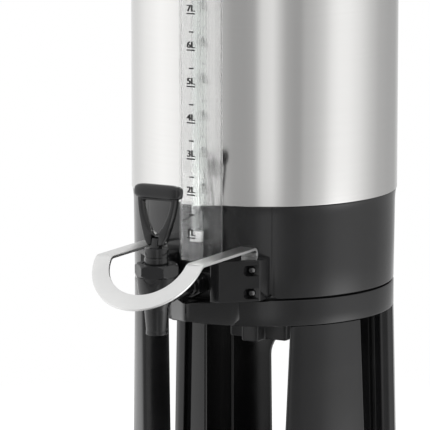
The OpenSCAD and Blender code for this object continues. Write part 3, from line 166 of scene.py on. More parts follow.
class Form:
    """Vertices in millimetres and faces of one piece, added shape by shape."""

    def __init__(self):
        self.verts = []
        self.faces = []

    def add(self, verts, faces, at=None):
        """Adds vertices, moved by a matrix, and the faces between them."""
        first = len(self.verts)
        for v in verts:
            v = Vector(v)
            self.verts.append(at @ v if at else v)
        self.faces += [[i + first for i in f] for f in faces]

    def loft(self, loops, at=None, caps=True, ring=False):
        """Skins loops of equal length; ring joins the last loop to the first."""
        n = len(loops[0])
        verts = [v for loop in loops for v in loop]
        faces = []
        for i in range(len(loops) if ring else len(loops) - 1):
            a, b = i * n, (i + 1) % len(loops) * n
            faces += [[a + k, a + (k + 1) % n, b + (k + 1) % n, b + k] for k in range(n)]
        if caps and not ring:
            last = (len(loops) - 1) * n
            faces += [[*range(n - 1, -1, -1)], [*range(last, last + n)]]
        self.add(verts, faces, at)

    def column(self, loops, at=None):
        """Skins loops of an outline that isn't convex and closes both ends."""
        self.loft(loops, at, caps=False)
        for loop in (loops[0], loops[-1]):
            flat = [Vector((x, y, 0)) for x, y, _ in loop]
            self.add(loop, [list(f) for f in tessellate_polygon([flat])], at)

    def spin(self, profile, steps=MAIN_STEPS, at=None, shape=None):
        """Turns a closed outline of (radius, z) points about Z. shape may move a point."""
        loops = []
        for a in bearings(steps):
            points = [shape(a, r, z) if shape else (r, z) for r, z in profile]
            loops.append([(r * math.sin(a), -r * math.cos(a), z) for r, z in points])
        self.loft(loops, at, ring=True)

    def turn(self, profile, steps=MID_STEPS, at=None, shape=None):
        """Turns an open outline of (radius, z) points about Z and closes both ends."""
        loops = []
        for r, z in profile:
            ring = []
            for a in bearings(steps):
                rr, zz = shape(a, r, z) if shape else (r, z)
                ring.append((rr * math.sin(a), -rr * math.cos(a), zz))
            loops.append(ring)
        self.loft(loops, at)

    def plate(self, outline, z0, z1, bevel=0.8, holes=(), at=None, steps=3, foot=None):
        """Solid between two heights with rounded rims. foot(x, y) raises its underside."""
        loops = [upright(outline)] + [upright(h)[::-1] for h in holes]
        levels = []
        for k in range(steps + 1):
            t = math.pi / 2 * k / steps
            levels.append((bevel * (1 - math.sin(t)), z0 + bevel * (1 - math.cos(t))))
        levels += [(inset, z1 - (z - z0)) for inset, z in levels[::-1]]
        stacks = []
        for loop in loops:
            stack = []
            for inset, z in levels:
                ring = offset(loop, inset)
                low = z < (z0 + z1) / 2
                stack.append([(x, y, z + (foot(x, y) if foot and low else 0)) for x, y in ring])
            stacks.append(stack)
        for stack in stacks:
            self.loft(stack, at, caps=False)
        for end in (0, -1):
            flat = [[Vector(v) for v in stack[end]] for stack in stacks]
            points = [v for ring in flat for v in ring]
            ends = tessellate_polygon([[Vector((v.x, v.y, 0)) for v in ring] for ring in flat])
            self.add(points, [list(f) for f in ends], at)

    def sweep(self, stations, section, at=None, ring=False):
        """Carries a section along stations of (place, width axis, normal axis)."""
        loops = [[p + w * a + n * b for a, b in section] for p, w, n in stations]
        self.loft(loops, at, ring=ring)

    def build(self, name, material, sharp=38):
        """Makes the object, with its faces turned outwards and its soft edges smooth."""
        mesh = bpy.data.meshes.new(name)
        mesh.from_pydata([v * MM for v in self.verts], [], self.faces)
        mesh.materials.append(material)
        bm = bmesh.new()
        bm.from_mesh(mesh)
        bmesh.ops.remove_doubles(bm, verts=bm.verts, dist=1e-6)
        bmesh.ops.recalc_face_normals(bm, faces=bm.faces)
        bm.to_mesh(mesh)
        bm.free()
        obj = bpy.data.objects.new(name, mesh)
        bpy.context.scene.collection.objects.link(obj)
        smooth(mesh, sharp)
        return obj


def smooth(mesh, sharp=38):
    """Smooth shading with edges kept where faces meet at more than an angle."""
    mesh.shade_smooth()
    mesh.set_sharp_from_angle(angle=math.radians(sharp))


def area_of(loop):
    """Area of an outline, negative where it runs clockwise."""
    return sum(
        loop[i - 1][0] * loop[i][1] - loop[i][0] * loop[i - 1][1] for i in range(len(loop))
    ) / 2


def upright(loop):
    """The same outline, running anticlockwise."""
    return list(loop) if area_of(loop) > 0 else list(loop)[::-1]


def offset(loop, inset):
    """An anticlockwise outline drawn in by a distance; a clockwise one grows."""
    if not inset:
        return [(p[0], p[1]) for p in loop]
    out = []
    n = len(loop)
    for i in range(n):
        a, b, c = (Vector(loop[k % n][:2]) for k in (i - 1, i, i + 1))
        u, v = (b - a).normalized(), (c - b).normalized()
        normal = Vector((-u.y - v.y, u.x + v.x))
        if normal.length < 1e-6:
            normal = Vector((-u.y, u.x))
        normal.normalize()
        reach = max(0.35, normal.dot(Vector((-u.y, u.x))))
        out.append(tuple(b + normal * (inset / reach)))
    return out


def rounded(points, radius=0.0, closed=True, steps=4):
    """An outline with rounded corners. A point may bring its own radius as a third number."""
    out = []
    n = len(points)
    for i, p in enumerate(points):
        b = Vector(p[:2])
        r = p[2] if len(p) > 2 else radius
        if r <= 0 or (not closed and i in (0, n - 1)):
            out.append(tuple(b))
            continue
        u, v = Vector(points[i - 1][:2]) - b, Vector(points[(i + 1) % n][:2]) - b
        most = 0.49 * min(u.length, v.length)
        u.normalize()
        v.normalize()
        half = u.angle(v) / 2
        if half > math.radians(89):
            out.append(tuple(b))
            continue
        run = min(r / math.tan(half), most)
        start, end = b + u * run, b + v * run
        middle = b + (u + v).normalized() * (run / math.cos(half))
        a0 = math.atan2(*(start - middle).yx)
        turn = (math.atan2(*(end - middle).yx) - a0 + 3 * math.pi) % (2 * math.pi) - math.pi
        arm = (start - middle).length
        for k in range(steps + 1):
            a = a0 + turn * k / steps
            out.append((middle.x + arm * math.cos(a), middle.y + arm * math.sin(a)))
    return out


def block(w, l, r=0.0, x=0.0, y=0.0, steps=4):
    """Outline of a rectangle with rounded corners."""
    w, l = w / 2, l / 2
    return rounded([(x - w, y - l), (x + w, y - l), (x + w, y + l), (x - w, y + l)], r, steps=steps)


def arc(r, a0, a1, steps=24, x=0.0, y=0.0):
    """Points at a radius between two directions, in degrees from the front."""
    angles = [math.radians(a0 + (a1 - a0) * k / steps) for k in range(steps + 1)]
    return [(x + r * math.sin(a), y - r * math.cos(a)) for a in angles]


def mirrored(outline):
    """The mirror image of an outline, in the order that carries it on."""
    return [(-p[0], *p[1:]) for p in outline[::-1]]


def along_y(y, z, x=0.0):
    """Places a shape turned about Z so that its axis runs forward from (x, y, z)."""
    return Matrix.Translation((x, y, z)) @ turned(90, "X")


def disc(radius, z0, z1, bevel=0.5, steps=3):
    """Open outline of a solid round rod with rounded rims."""
    return rounded([(CORE_R, z0), (radius, z0), (radius, z1), (CORE_R, z1)], bevel, False, steps)


def pipe(radius, bore, z0, z1, bevel=0.4, steps=3):
    """Closed outline of a tube with rounded rims."""
    return rounded([(bore, z0), (radius, z0), (radius, z1), (bore, z1)], bevel, steps=steps)


def cut_out(obj, tool):
    """Takes one closed mesh out of another."""
    cutter = obj.modifiers.new("cut", "BOOLEAN")
    cutter.operation = "DIFFERENCE"
    cutter.solver = "EXACT"
    cutter.object = tool
    graph = bpy.context.evaluated_depsgraph_get()
    mesh = bpy.data.meshes.new_from_object(obj.evaluated_get(graph))
    obj.modifiers.clear()
    obj.data = mesh
    smooth(mesh)
    spare = tool.data
    bpy.data.objects.remove(tool)
    bpy.data.meshes.remove(spare)


def mirror_over(mesh):
    """Adds the mirror image across x = 0 to a mesh."""
    bm = bmesh.new()
    bm.from_mesh(mesh)
    copy = bmesh.ops.duplicate(bm, geom=[*bm.verts, *bm.edges, *bm.faces])["geom"]
    verts = [g for g in copy if isinstance(g, bmesh.types.BMVert)]
    faces = [g for g in copy if isinstance(g, bmesh.types.BMFace)]
    bmesh.ops.scale(bm, vec=(-1, 1, 1), verts=verts)
    bmesh.ops.reverse_faces(bm, faces=faces)
    bm.to_mesh(mesh)
    bm.free()


def fit(obj, body, slot, *nodes):
    """Ties a finished piece to its CAD body and nodes; slot is not used."""
    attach(obj, body)
    if nodes:
        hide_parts(*nodes)
    return obj


def dress(form, name, finish, body, slot, *nodes, sharp=38):
    """Builds a piece in a finish and ties it to its CAD body and nodes; slot is not used."""
    return fit(form.build(name, FINISHES[finish], sharp), body, slot, *nodes)


def refinish(material, *nodes):
    """Gives carried-over CAD nodes a finish."""
    for name in nodes:
        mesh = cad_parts[name].data
        for i in range(len(mesh.materials)):
            mesh.materials[i] = material
        smooth(mesh, 35)


# Sizes and colours that a user would change


class DispenserSizes(PropertyGroup):
    """Small sizes of the dressed pieces."""

    edge_round: FloatProperty(
        name="Edge rounding", description="Radius on the rims of moulded pieces",
        default=0.0009, min=0.0002, max=0.002, unit="LENGTH", subtype="DISTANCE")
    mark_height: FloatProperty(
        name="Digit height", description="Height of the litre figures on the gauge shield",
        default=0.0056, min=0.003, max=0.008, unit="LENGTH", subtype="DISTANCE")
    long_tick: FloatProperty(
        name="Litre tick", description="Length of the tick under each litre figure",
        default=0.0082, min=0.004, max=0.012, unit="LENGTH", subtype="DISTANCE")
    short_tick: FloatProperty(
        name="Half-litre tick", description="Length of the tick between two litre figures",
        default=0.0047, min=0.002, max=0.008, unit="LENGTH", subtype="DISTANCE")
    grid_slots: IntProperty(
        name="Grid slots", description="Number of slots in the drip grid",
        default=11, min=7, max=13)


class DispenserColours(PropertyGroup):
    """Colours of the finishes."""

    plastic: FloatVectorProperty(
        name="Black plastic", description="Colour of the glossy mouldings",
        default=(0.009, 0.009, 0.0095), min=0, max=1, subtype="COLOR")
    fitting: FloatVectorProperty(
        name="Fitting plastic", description="Colour of the matt fittings",
        default=(0.02, 0.02, 0.021), min=0, max=1, subtype="COLOR")
    steel: FloatVectorProperty(
        name="Brushed steel", description="Colour of the vessel's shell",
        default=(0.68, 0.675, 0.665), min=0, max=1, subtype="COLOR")
    bright: FloatVectorProperty(
        name="Bright steel", description="Colour of screws, springs and pins",
        default=(0.72, 0.72, 0.71), min=0, max=1, subtype="COLOR")
    guard: FloatVectorProperty(
        name="Guard steel", description="Colour of the satin drip guard",
        default=(0.72, 0.72, 0.715), min=0, max=1, subtype="COLOR")
    bolt: FloatVectorProperty(
        name="Dull steel", description="Colour of the guard's screws",
        default=(0.2, 0.2, 0.2), min=0, max=1, subtype="COLOR")
    rubber: FloatVectorProperty(
        name="Rubber", description="Colour of the pads under the foot",
        default=(0.012, 0.012, 0.012), min=0, max=1, subtype="COLOR")
    silicone: FloatVectorProperty(
        name="Silicone", description="Colour of the seals",
        default=(0.48, 0.46, 0.43), min=0, max=1, subtype="COLOR")
    foam: FloatVectorProperty(
        name="Foam", description="Colour of the insulating foam",
        default=(0.76, 0.66, 0.42), min=0, max=1, subtype="COLOR")
    ink: FloatVectorProperty(
        name="Print", description="Colour of the litre scale",
        default=(0.01, 0.01, 0.01), min=0, max=1, subtype="COLOR")


class StudioSettings(PropertyGroup):
    """Light and camera."""

    lamp_level: FloatProperty(
        name="Lamp level", description="Factor on the power of the studio lamps",
        default=1.0, min=0.2, max=3)
    card_level: FloatProperty(
        name="Card level", description="Factor on the cards that metal and gloss reflect",
        default=1.0, min=0.2, max=3)
    lens: FloatProperty(
        name="Lens", description="Focal length of the camera on a 36 mm sensor",
        default=333.4, min=35, max=400, unit="CAMERA")


# Finishes


def new_finish(name, **values):
    """A Principled material with even values set on its own sockets."""
    material = bpy.data.materials.new(name)
    material.use_nodes = True
    shader = material.node_tree.nodes["Principled BSDF"]
    for key, value in values.items():
        shader.inputs[key.replace("_", " ")].default_value = value
    return material, material.node_tree, shader


def node(tree, kind, inputs=None, **settings):
    """A shader node with its inputs set to values or linked to sockets."""
    made = tree.nodes.new("ShaderNode" + kind)
    for key, value in settings.items():
        setattr(made, key, value)
    for key, value in (inputs or {}).items():
        if isinstance(value, bpy.types.NodeSocket):
            tree.links.new(value, made.inputs[key])
        else:
            made.inputs[key].default_value = value
    return made


def object_point(tree, scale):
    """Coordinates in metres times a scale."""
    place = node(tree, "TexCoord")
    return node(tree, "Mapping", {"Vector": place.outputs["Object"], "Scale": scale})


def grain(tree, scale, detail=3.0, stretch=(1, 1, 1)):
    """Noise fixed to the piece."""
    point = object_point(tree, stretch)
    return node(tree, "TexNoise", {
        "Vector": point.outputs["Vector"], "Scale": scale, "Detail": detail,
        "Roughness": 0.6})


def spread(tree, source, low, high):
    """Maps the middle of a noise to a range."""
    return node(tree, "MapRange", {
        "Value": source, "From Min": 0.3, "From Max": 0.7, "To Min": low, "To Max": high})


def roughened(tree, shader, source, low, high):
    """Varies the roughness between two values."""
    tree.links.new(spread(tree, source, low, high).outputs["Result"],
                   shader.inputs["Roughness"])


def tinted(tree, shader, source, colour, change):
    """Varies a colour by a share of itself."""
    low = [c * (1 - change) for c in colour]
    high = [min(1, c * (1 + change)) for c in colour]
    ramp = node(tree, "ValToRGB", {"Fac": source})
    ramp.color_ramp.elements[0].position = 0.3
    ramp.color_ramp.elements[0].color = (*low, 1)
    ramp.color_ramp.elements[1].position = 0.7
    ramp.color_ramp.elements[1].color = (*high, 1)
    tree.links.new(ramp.outputs["Color"], shader.inputs["Base Color"])


def bumped(tree, shader, source, strength, depth):
    """Roughens the surface by a height in metres."""
    bump = node(tree, "Bump", {
        "Height": source, "Strength": strength, "Distance": depth})
    tree.links.new(bump.outputs["Normal"], shader.inputs["Normal"])


def moulded(name, colour, rough_low, rough_high, scale=900, strength=0.12, depth=0.00003):
    """Moulded plastic: a fine skin, faint cloudiness and a slightly uneven gloss."""
    material, tree, shader = new_finish(name, IOR=1.46)
    fine = grain(tree, scale, 2.0)
    broad = grain(tree, 26.0, 3.0)
    roughened(tree, shader, broad.outputs["Fac"], rough_low, rough_high)
    tinted(tree, shader, broad.outputs["Fac"], colour, 0.12)
    bumped(tree, shader, fine.outputs["Fac"], strength, depth)
    return material


def brushed(name, colour, rough_low, rough_high, anisotropy):
    """Steel brushed round the vessel's axis: long streaks that share a height."""
    material, tree, shader = new_finish(
        name, Metallic=1.0, Anisotropic=anisotropy, Anisotropic_Rotation=0.25)
    place = node(tree, "TexCoord")
    axes = node(tree, "SeparateXYZ", {"Vector": place.outputs["Object"]})
    around = node(tree, "Math", {0: axes.outputs["X"], 1: axes.outputs["Y"]},
                  operation="ARCTAN2")
    streaks = []
    for across, up in ((2.6, 2600.0), (1.1, 420.0)):
        wide = node(tree, "Math", {0: around.outputs[0], 1: across},
                    operation="MULTIPLY")
        high = node(tree, "Math", {0: axes.outputs["Z"], 1: up}, operation="MULTIPLY")
        point = node(tree, "CombineXYZ", {
            "X": wide.outputs[0], "Y": high.outputs[0]})
        streaks.append(node(tree, "TexNoise", {
            "Vector": point.outputs["Vector"], "Scale": 1.0, "Detail": 4.0,
            "Roughness": 0.65}))
    fine, broad = streaks
    roughened(tree, shader, fine.outputs["Fac"], rough_low, rough_high)
    tinted(tree, shader, broad.outputs["Fac"], colour, 0.01)
    bumped(tree, shader, fine.outputs["Fac"], 0.1, 0.00001)
    axis = node(tree, "Tangent", direction_type="RADIAL", axis="Z")
    tree.links.new(axis.outputs["Tangent"], shader.inputs["Tangent"])
    return material


def satin(name, colour, rough_low, rough_high, scale=1500):
    """Fine blasted or drawn metal."""
    material, tree, shader = new_finish(name, Metallic=1.0)
    fine = grain(tree, scale, 3.0)
    broad = grain(tree, 30.0, 3.0)
    roughened(tree, shader, fine.outputs["Fac"], rough_low, rough_high)
    tinted(tree, shader, broad.outputs["Fac"], colour, 0.04)
    bumped(tree, shader, fine.outputs["Fac"], 0.1, 0.00002)
    return material


def soft_finish(name, colour, roughness, scale, strength, depth):
    """Rubber, silicone or foam: a matt skin with a visible grain."""
    material, tree, shader = new_finish(name)
    fine = grain(tree, scale, 5.0)
    roughened(tree, shader, fine.outputs["Fac"], roughness - 0.08, roughness + 0.08)
    tinted(tree, shader, grain(tree, scale / 12, 4.0).outputs["Fac"], colour, 0.15)
    bumped(tree, shader, fine.outputs["Fac"], strength, depth)
    return material


def see_through(name, tint, rough_high, ior, plain):
    """Clear plastic or glass that lets the lamps through, with faint rubbed patches.

    plain is the share of sight that passes straight through without being bent.
    """
    material, tree, shader = new_finish(name, IOR=ior, Transmission_Weight=1.0)
    broad = grain(tree, 60.0, 4.0)
    roughened(tree, shader, broad.outputs["Fac"], 0.0, rough_high)
    tinted(tree, shader, broad.outputs["Fac"], tint, 0.01)
    light = node(tree, "LightPath")
    through = node(tree, "BsdfTransparent", {"Color": (0.97, 0.975, 0.975, 1)})
    rays = node(tree, "Math", {
        0: light.outputs["Is Shadow Ray"], 1: light.outputs["Is Diffuse Ray"]},
        operation="MAXIMUM")
    rays = node(tree, "Math", {0: rays.outputs[0], 1: plain}, operation="MAXIMUM")
    mix = node(tree, "MixShader", {
        0: rays.outputs[0], 1: shader.outputs["BSDF"], 2: through.outputs["BSDF"]})
    tree.links.new(mix.outputs["Shader"], tree.nodes["Material Output"].inputs["Surface"])
    return material


# Filled by make_finishes
FINISHES = {}


def make_finishes(colours):
    """Every finish of the dispenser under the name that the pieces use."""
    FINISHES.update(
        gloss=moulded("gloss_plastic", colours.plastic, 0.11, 0.17, strength=0.06),
        tap=moulded("tap_plastic", colours.plastic, 0.1, 0.16, strength=0.06),
        fitting=moulded("fitting_plastic", colours.fitting, 0.42, 0.55, 1500, 0.25),
        knob=moulded("knob_plastic", colours.fitting, 0.38, 0.5, 1300, 0.25),
        shell=brushed("brushed_steel", colours.steel, 0.115, 0.14, 0.3),
        inner=satin("inner_steel", colours.steel, 0.22, 0.34, 1100),
        guard=satin("guard_steel", colours.guard, 0.3, 0.38),
        bright=satin("bright_steel", colours.bright, 0.16, 0.26, 1800),
        bolt=satin("bolt_steel", colours.bolt, 0.3, 0.4, 1800),
        clear=see_through("clear_plastic", (1, 1, 1), 0.004, 1.45, 0.25),
        glass=see_through("gauge_glass", (0.97, 0.99, 0.98), 0.004, 1.47, 0.1),
        silicone=soft_finish("silicone", colours.silicone, 0.45, 700, 0.15, 0.00005),
        rubber=soft_finish("pad_rubber", colours.rubber, 0.62, 1200, 0.3, 0.00006),
        foam=soft_finish("foam", colours.foam, 0.85, 420, 0.7, 0.0004),
        ink=moulded("scale_print", colours.ink, 0.4, 0.5, 2000, 0.05),
    )


class DISPENSER_OT_finishes(Operator):
    """Makes the procedural finishes that the pieces share"""

    bl_idname = "dispenser.finishes"
    bl_label = "Finishes"

    def execute(self, context):
        make_finishes(context.scene.dispenser_colours)
        return {"FINISHED"}


# Vessel


class DISPENSER_OT_shell(Operator):
    """Adds the brushed steel shell with its rolled edges"""

    bl_idname = "dispenser.shell"
    bl_label = "Steel shell"

    def execute(self, context):
        inner_r = SHELL_R - 1
        form = Form()
        form.spin(rounded([(inner_r, COLLAR_TOP), (SHELL_R, COLLAR_TOP, 0.7),
                           (SHELL_R, SHELL_TOP, 0.5), (inner_r, SHELL_TOP)], 0.2), BIG_STEPS)
        dress(form, "steel_shell", "shell", "root", "shell_steel", "outer_shell")
        return {"FINISHED"}


def collar_shape(a, r, z):
    """Lifts the collar's lower edge beside the housing and sinks its mould seams."""
    band, rise, rise_end, rise_run = 6, 5.0, 34.2, 4.4
    seam_turn, seam_half, seam_depth = 32.0, 0.14, 0.22
    beside = abs(math.degrees(a if a < math.pi else a - 2 * math.pi))
    if z < COLLAR_Z + band:
        lift = ease((rise_end - beside) / rise_run)
        z += rise * lift * min(1, (COLLAR_Z + band - z) / rise)
    seam = min(abs(beside - seam_turn), abs(beside - 180))
    if r > RING_R - 1 and seam < seam_half:
        r -= seam_depth
    return r, z


class DISPENSER_OT_collar(Operator):
    """Adds the black collar under the shell, its floor and its spigot"""

    bl_idname = "dispenser.collar"
    bl_label = "Base collar"

    def execute(self, context):
        foot_r, waist_r, waist_z = 113, 113.45, 307
        lip_r, lip_z, lip_h, lip_out = SHELL_R - 0.5, COLLAR_TOP - 13, 13, 1.2
        seat_r, seat_z = 104.2, COLLAR_TOP - 4
        lip = [(COLLAR_NECK_R + lip_out * (k / 8) ** 2, lip_z + lip_h * k / 8) for k in range(8)]
        wall = [(INNER_R, COLLAR_Z), (foot_r, COLLAR_Z, 0.8), (waist_r, waist_z), *lip,
                (lip_r, COLLAR_TOP, 0.5), (seat_r, COLLAR_TOP), (seat_r, seat_z),
                (INNER_R, seat_z)]
        form = Form()
        form.spin(rounded(wall, 0.3, steps=3), 720, shape=collar_shape)
        pan_r, step_r, step_z, floor_z = 108, INNER_R + 0.4, COLLAR_Z + 0.4, DECK_Z + 4
        form.spin(rounded([(STUD_HOLE_R, DECK_Z), (pan_r, DECK_Z, 0.3), (pan_r, step_z),
                           (step_r, step_z), (step_r, floor_z), (STUD_HOLE_R, floor_z)], 0.2))
        spigot_r = SHELL_R - 1.4
        form.spin(pipe(spigot_r, spigot_r - 2.8, COLLAR_TOP - 1.5, COLLAR_TOP + 4.9, 0.5))
        dress(form, "collar_moulding", "gloss", "root", "black_plastic", "base_collar")
        return {"FINISHED"}


class DISPENSER_OT_rim(Operator):
    """Adds the rim ring with its two handle pads"""

    bl_idname = "dispenser.rim"
    bl_label = "Rim ring"

    def execute(self, context):
        form = Form()
        bore_r, seat_r, out_r = 102, SHELL_R + 0.3, SHELL_R + 3
        groove_z, groove_top, groove_r = 622, 623.8, out_r - 0.4
        form.spin(rounded([(bore_r, RIM_Z), (seat_r, RIM_Z), (seat_r, SKIRT_Z),
                           (out_r, SKIRT_Z, 1.0), (out_r, groove_z, 0.0),
                           (groove_r, groove_z + 0.5, 0.0), (groove_r, groove_top - 0.5, 0.0),
                           (out_r, groove_top, 0.0), (out_r, LID_Z, 2.2), (bore_r, LID_Z, 0.8)],
                          0.4), BIG_STEPS)
        root_x, root_turn, edge = PAD_X - 5.5, 25.3, 2.5
        for side in (-1, 1):
            flat = rounded([(root_x, -PAD_HALF), (PAD_X, -PAD_HALF, edge),
                            (PAD_X, PAD_HALF, edge), (root_x, PAD_HALF)])
            back = arc(root_x, 90 + root_turn, 90 - root_turn, 12)[1:-1]
            form.plate([(side * x, y) for x, y in flat + back], PAD_Z, PAD_TOP, 1.2)
        dress(form, "rim_moulding", "gloss", "root", "black_plastic", "rim_ring")
        return {"FINISHED"}


def handle_stations(side):
    """The bent middle line of a carry handle, from its rear arm to its front arm."""
    start, reach, bend = PAD_X + 1, 163, 17
    arm_x, swell = 136, 24
    path = rounded([(start, -HANDLE_ARM_Y), (reach, -HANDLE_ARM_Y, bend),
                    (reach, HANDLE_ARM_Y, bend), (start, HANDLE_ARM_Y)], 0, False, 10)
    stations = []
    for i, (x, y) in enumerate(path):
        ahead = Vector(path[min(i + 1, len(path) - 1)]) - Vector(path[max(i - 1, 0)])
        ahead.normalize()
        grip = ease((x - arm_x) / swell)
        width = 6.0 + 2.2 * grip
        height = 7.0 + 1.0 * grip
        across = Vector((side * ahead.y, -ahead.x, 0)) * width
        stations.append((Vector((side * x, y, HANDLE_Z)), across, Vector((0, 0, height))))
    return stations


class DISPENSER_OT_carry_handles(Operator):
    """Adds both carry handles, each a bent bar on a mounting plate"""

    bl_idname = "dispenser.carry_handles"
    bl_label = "Carry handles"

    def execute(self, context):
        fullness, plate_t = 0.72, 5
        section = [(math.copysign(abs(math.cos(a)) ** fullness, math.cos(a)),
                    math.copysign(abs(math.sin(a)) ** fullness, math.sin(a)))
                   for a in bearings(28)]
        # The swelling where an arm meets its plate: distance from the pad and radius
        flare = ((1.5, 8.6), (5.7, 8.4), (7.1, 7.6), (8.7, 6.9), (11.5, 6.4))
        for side, name in ((-1, "left"), (1, "right")):
            form = Form()
            form.sweep(handle_stations(side), section)
            flat = block(PAD_TOP - PAD_Z, 2 * PAD_HALF, 3.5)
            turn = Matrix.Translation((0, 0, HANDLE_Z)) @ turned(90, "Y")
            form.plate(flat, *sorted((side * PAD_X, side * (PAD_X + plate_t))), 1.2, at=turn)
            for y in (-HANDLE_ARM_Y, HANDLE_ARM_Y):
                form.loft([[(side * (PAD_X + out), y + r * 1.1 * math.cos(a),
                             HANDLE_Z + r * math.sin(a)) for a in bearings(28)]
                           for out, r in flare])
            dress(form, f"carry_bar_{name}", "gloss", "root", "black_plastic",
                  f"carry_handle_{name}")
        return {"FINISHED"}


# Stand


class DISPENSER_OT_ring(Operator):
    """Adds the stand's ring and deck and its pointed nose"""

    bl_idname = "dispenser.ring"
    bl_label = "Stand ring and nose"

    def execute(self, context):
        edge = context.scene.dispenser_sizes.edge_round / MM
        under_deck, rib_h = DECK_Z - 4, 6
        form = Form()
        form.spin(rounded([(INNER_R, RING_Z), (RING_R, RING_Z, edge), (RING_R, DECK_Z, edge + 0.3),
                           (STUD_HOLE_R, DECK_Z), (STUD_HOLE_R, under_deck),
                           (INNER_R, under_deck, 1.5)], 0.3, steps=3), BIG_STEPS)
        for k in range(8):
            form.plate(block(2.4, 84, 0.5, 0, -64), under_deck - rib_h, under_deck + 0.5, 0.5,
                       at=turned(22.5 + 45 * k, "Z"))
        dress(form, "stand_moulding", "gloss", "root", "black_plastic", "stand_ring")
        form = Form()
        side, reach, root_turn = span("ring_nose", X)[1], RING_R + 29.5, 17.9
        tip_rise, chamfer, chamfer_x = 7.0, 5.5, 29
        tip_half, tip_root, tip_point, steps = 1.6, 1.9, 1.3, 9

        def rise(x, y):
            fore = tip_rise * min(1, max(0, (-y - INNER_R) / (reach - INNER_R)))
            return max(fore, min(chamfer, max(0, abs(x) - chamfer_x)))
        corner = math.sqrt(RING_R ** 2 - side ** 2) + 0.8
        front = [(side * (1 - k / steps), -corner - (reach - corner) * k / steps)
                 for k in range(steps)]
        outline = arc(HIDDEN_R, -root_turn, root_turn, 14) + front
        outline += [(tip_half, tip_root - reach), (0, tip_point - reach),
                    (-tip_half, tip_root - reach)]
        outline += mirrored(front)
        form.plate(outline, RING_Z, DECK_Z, edge, foot=rise)
        dress(form, "nose_moulding", "gloss", "root", "black_plastic", "ring_nose")
        return {"FINISHED"}


def reach_in(start, along, radius):
    """Where a line that runs inward from start meets a circle about the axis."""
    half = start.dot(along)
    return start + along * (-half - math.sqrt(half * half - start.length_squared + radius ** 2))


def front_leg_section(z):
    """Outline of a front leg's channel at a height, facing -Y."""
    flare, top_half, spread, lead = 2.6, 35.3, 11, 8
    outer_edge, inner_edge, end_edge = 2.2, 1.5, 0.7
    drop = (LEG_TOP - z) / (LEG_TOP - FOOT_TOP)
    r = RING_R + flare * drop
    in_r = r - LEG_WALL
    half = math.degrees(math.asin((top_half + spread * drop) / r))
    outer = [(*p, 0.0) for p in arc(r, -half, half, 12)]
    outer[0], outer[-1] = (*outer[0][:2], outer_edge), (*outer[-1][:2], outer_edge)
    corner = Vector(outer[-1][:2])
    along = Vector((-math.sin(FLANGE_TURN), math.cos(FLANGE_TURN)))
    within = corner - Vector((LEG_WALL / math.cos(FLANGE_TURN), 0))
    end, inner_end = (reach_in(p, along, FRONT_LEG_IN_R) for p in (corner, within))
    inner_corner = reach_in(within - along * lead, along, in_r)
    inner_half = math.degrees(math.asin(inner_corner.x / in_r))
    inner = [(*p, 0.0) for p in arc(in_r, inner_half, -inner_half, 12)]
    inner[0], inner[-1] = (*inner[0][:2], inner_edge), (*inner[-1][:2], inner_edge)
    return rounded([*outer, (*end, end_edge), (*inner_end, end_edge), *inner,
                    (-inner_end.x, inner_end.y, end_edge), (-end.x, end.y, end_edge)])


def tongue(form, angle):
    """The part of a leg that stands inside the ring's skirt."""
    out_r, in_r, half = INNER_R - 0.4, 103.8, 12
    outline = arc(out_r, angle - half, angle + half, 8) + arc(in_r, angle + half, angle - half, 8)
    form.plate(outline, LEG_TOP - 10, TONGUE_TOP, 0.5)


class DISPENSER_OT_front_legs(Operator):
    """Adds the two channel-shaped front legs"""

    bl_idname = "dispenser.front_legs"
    bl_label = "Front legs"

    def execute(self, context):
        for side, name in ((-1, "left"), (1, "right")):
            at = turned(side * FRONT_LEG_ANGLE, "Z")
            loops = []
            for z, inset in [(FOOT_TOP, 0.7), (FOOT_TOP + 0.2, 0.3), (FOOT_TOP + 0.8, 0), (60, 0),
                             (110, 0), (160, 0), (210, 0), *LEG_RIM]:
                loop = offset(upright(front_leg_section(z)), inset)
                loops.append([(x, y, z) for x, y in loop])
            form = Form()
            form.column(loops, at)
            foot = arc(HIDDEN_R, -21.5, 21.5, 8) + [(26, -79), (-26, -79)]
            form.plate(foot, *LEG_FOOT, 0.4, at=at)
            tongue(form, side * FRONT_LEG_ANGLE)
            dress(form, f"leg_channel_{name}", "gloss", "root", "black_plastic",
                  f"front_leg_{name}")
        return {"FINISHED"}


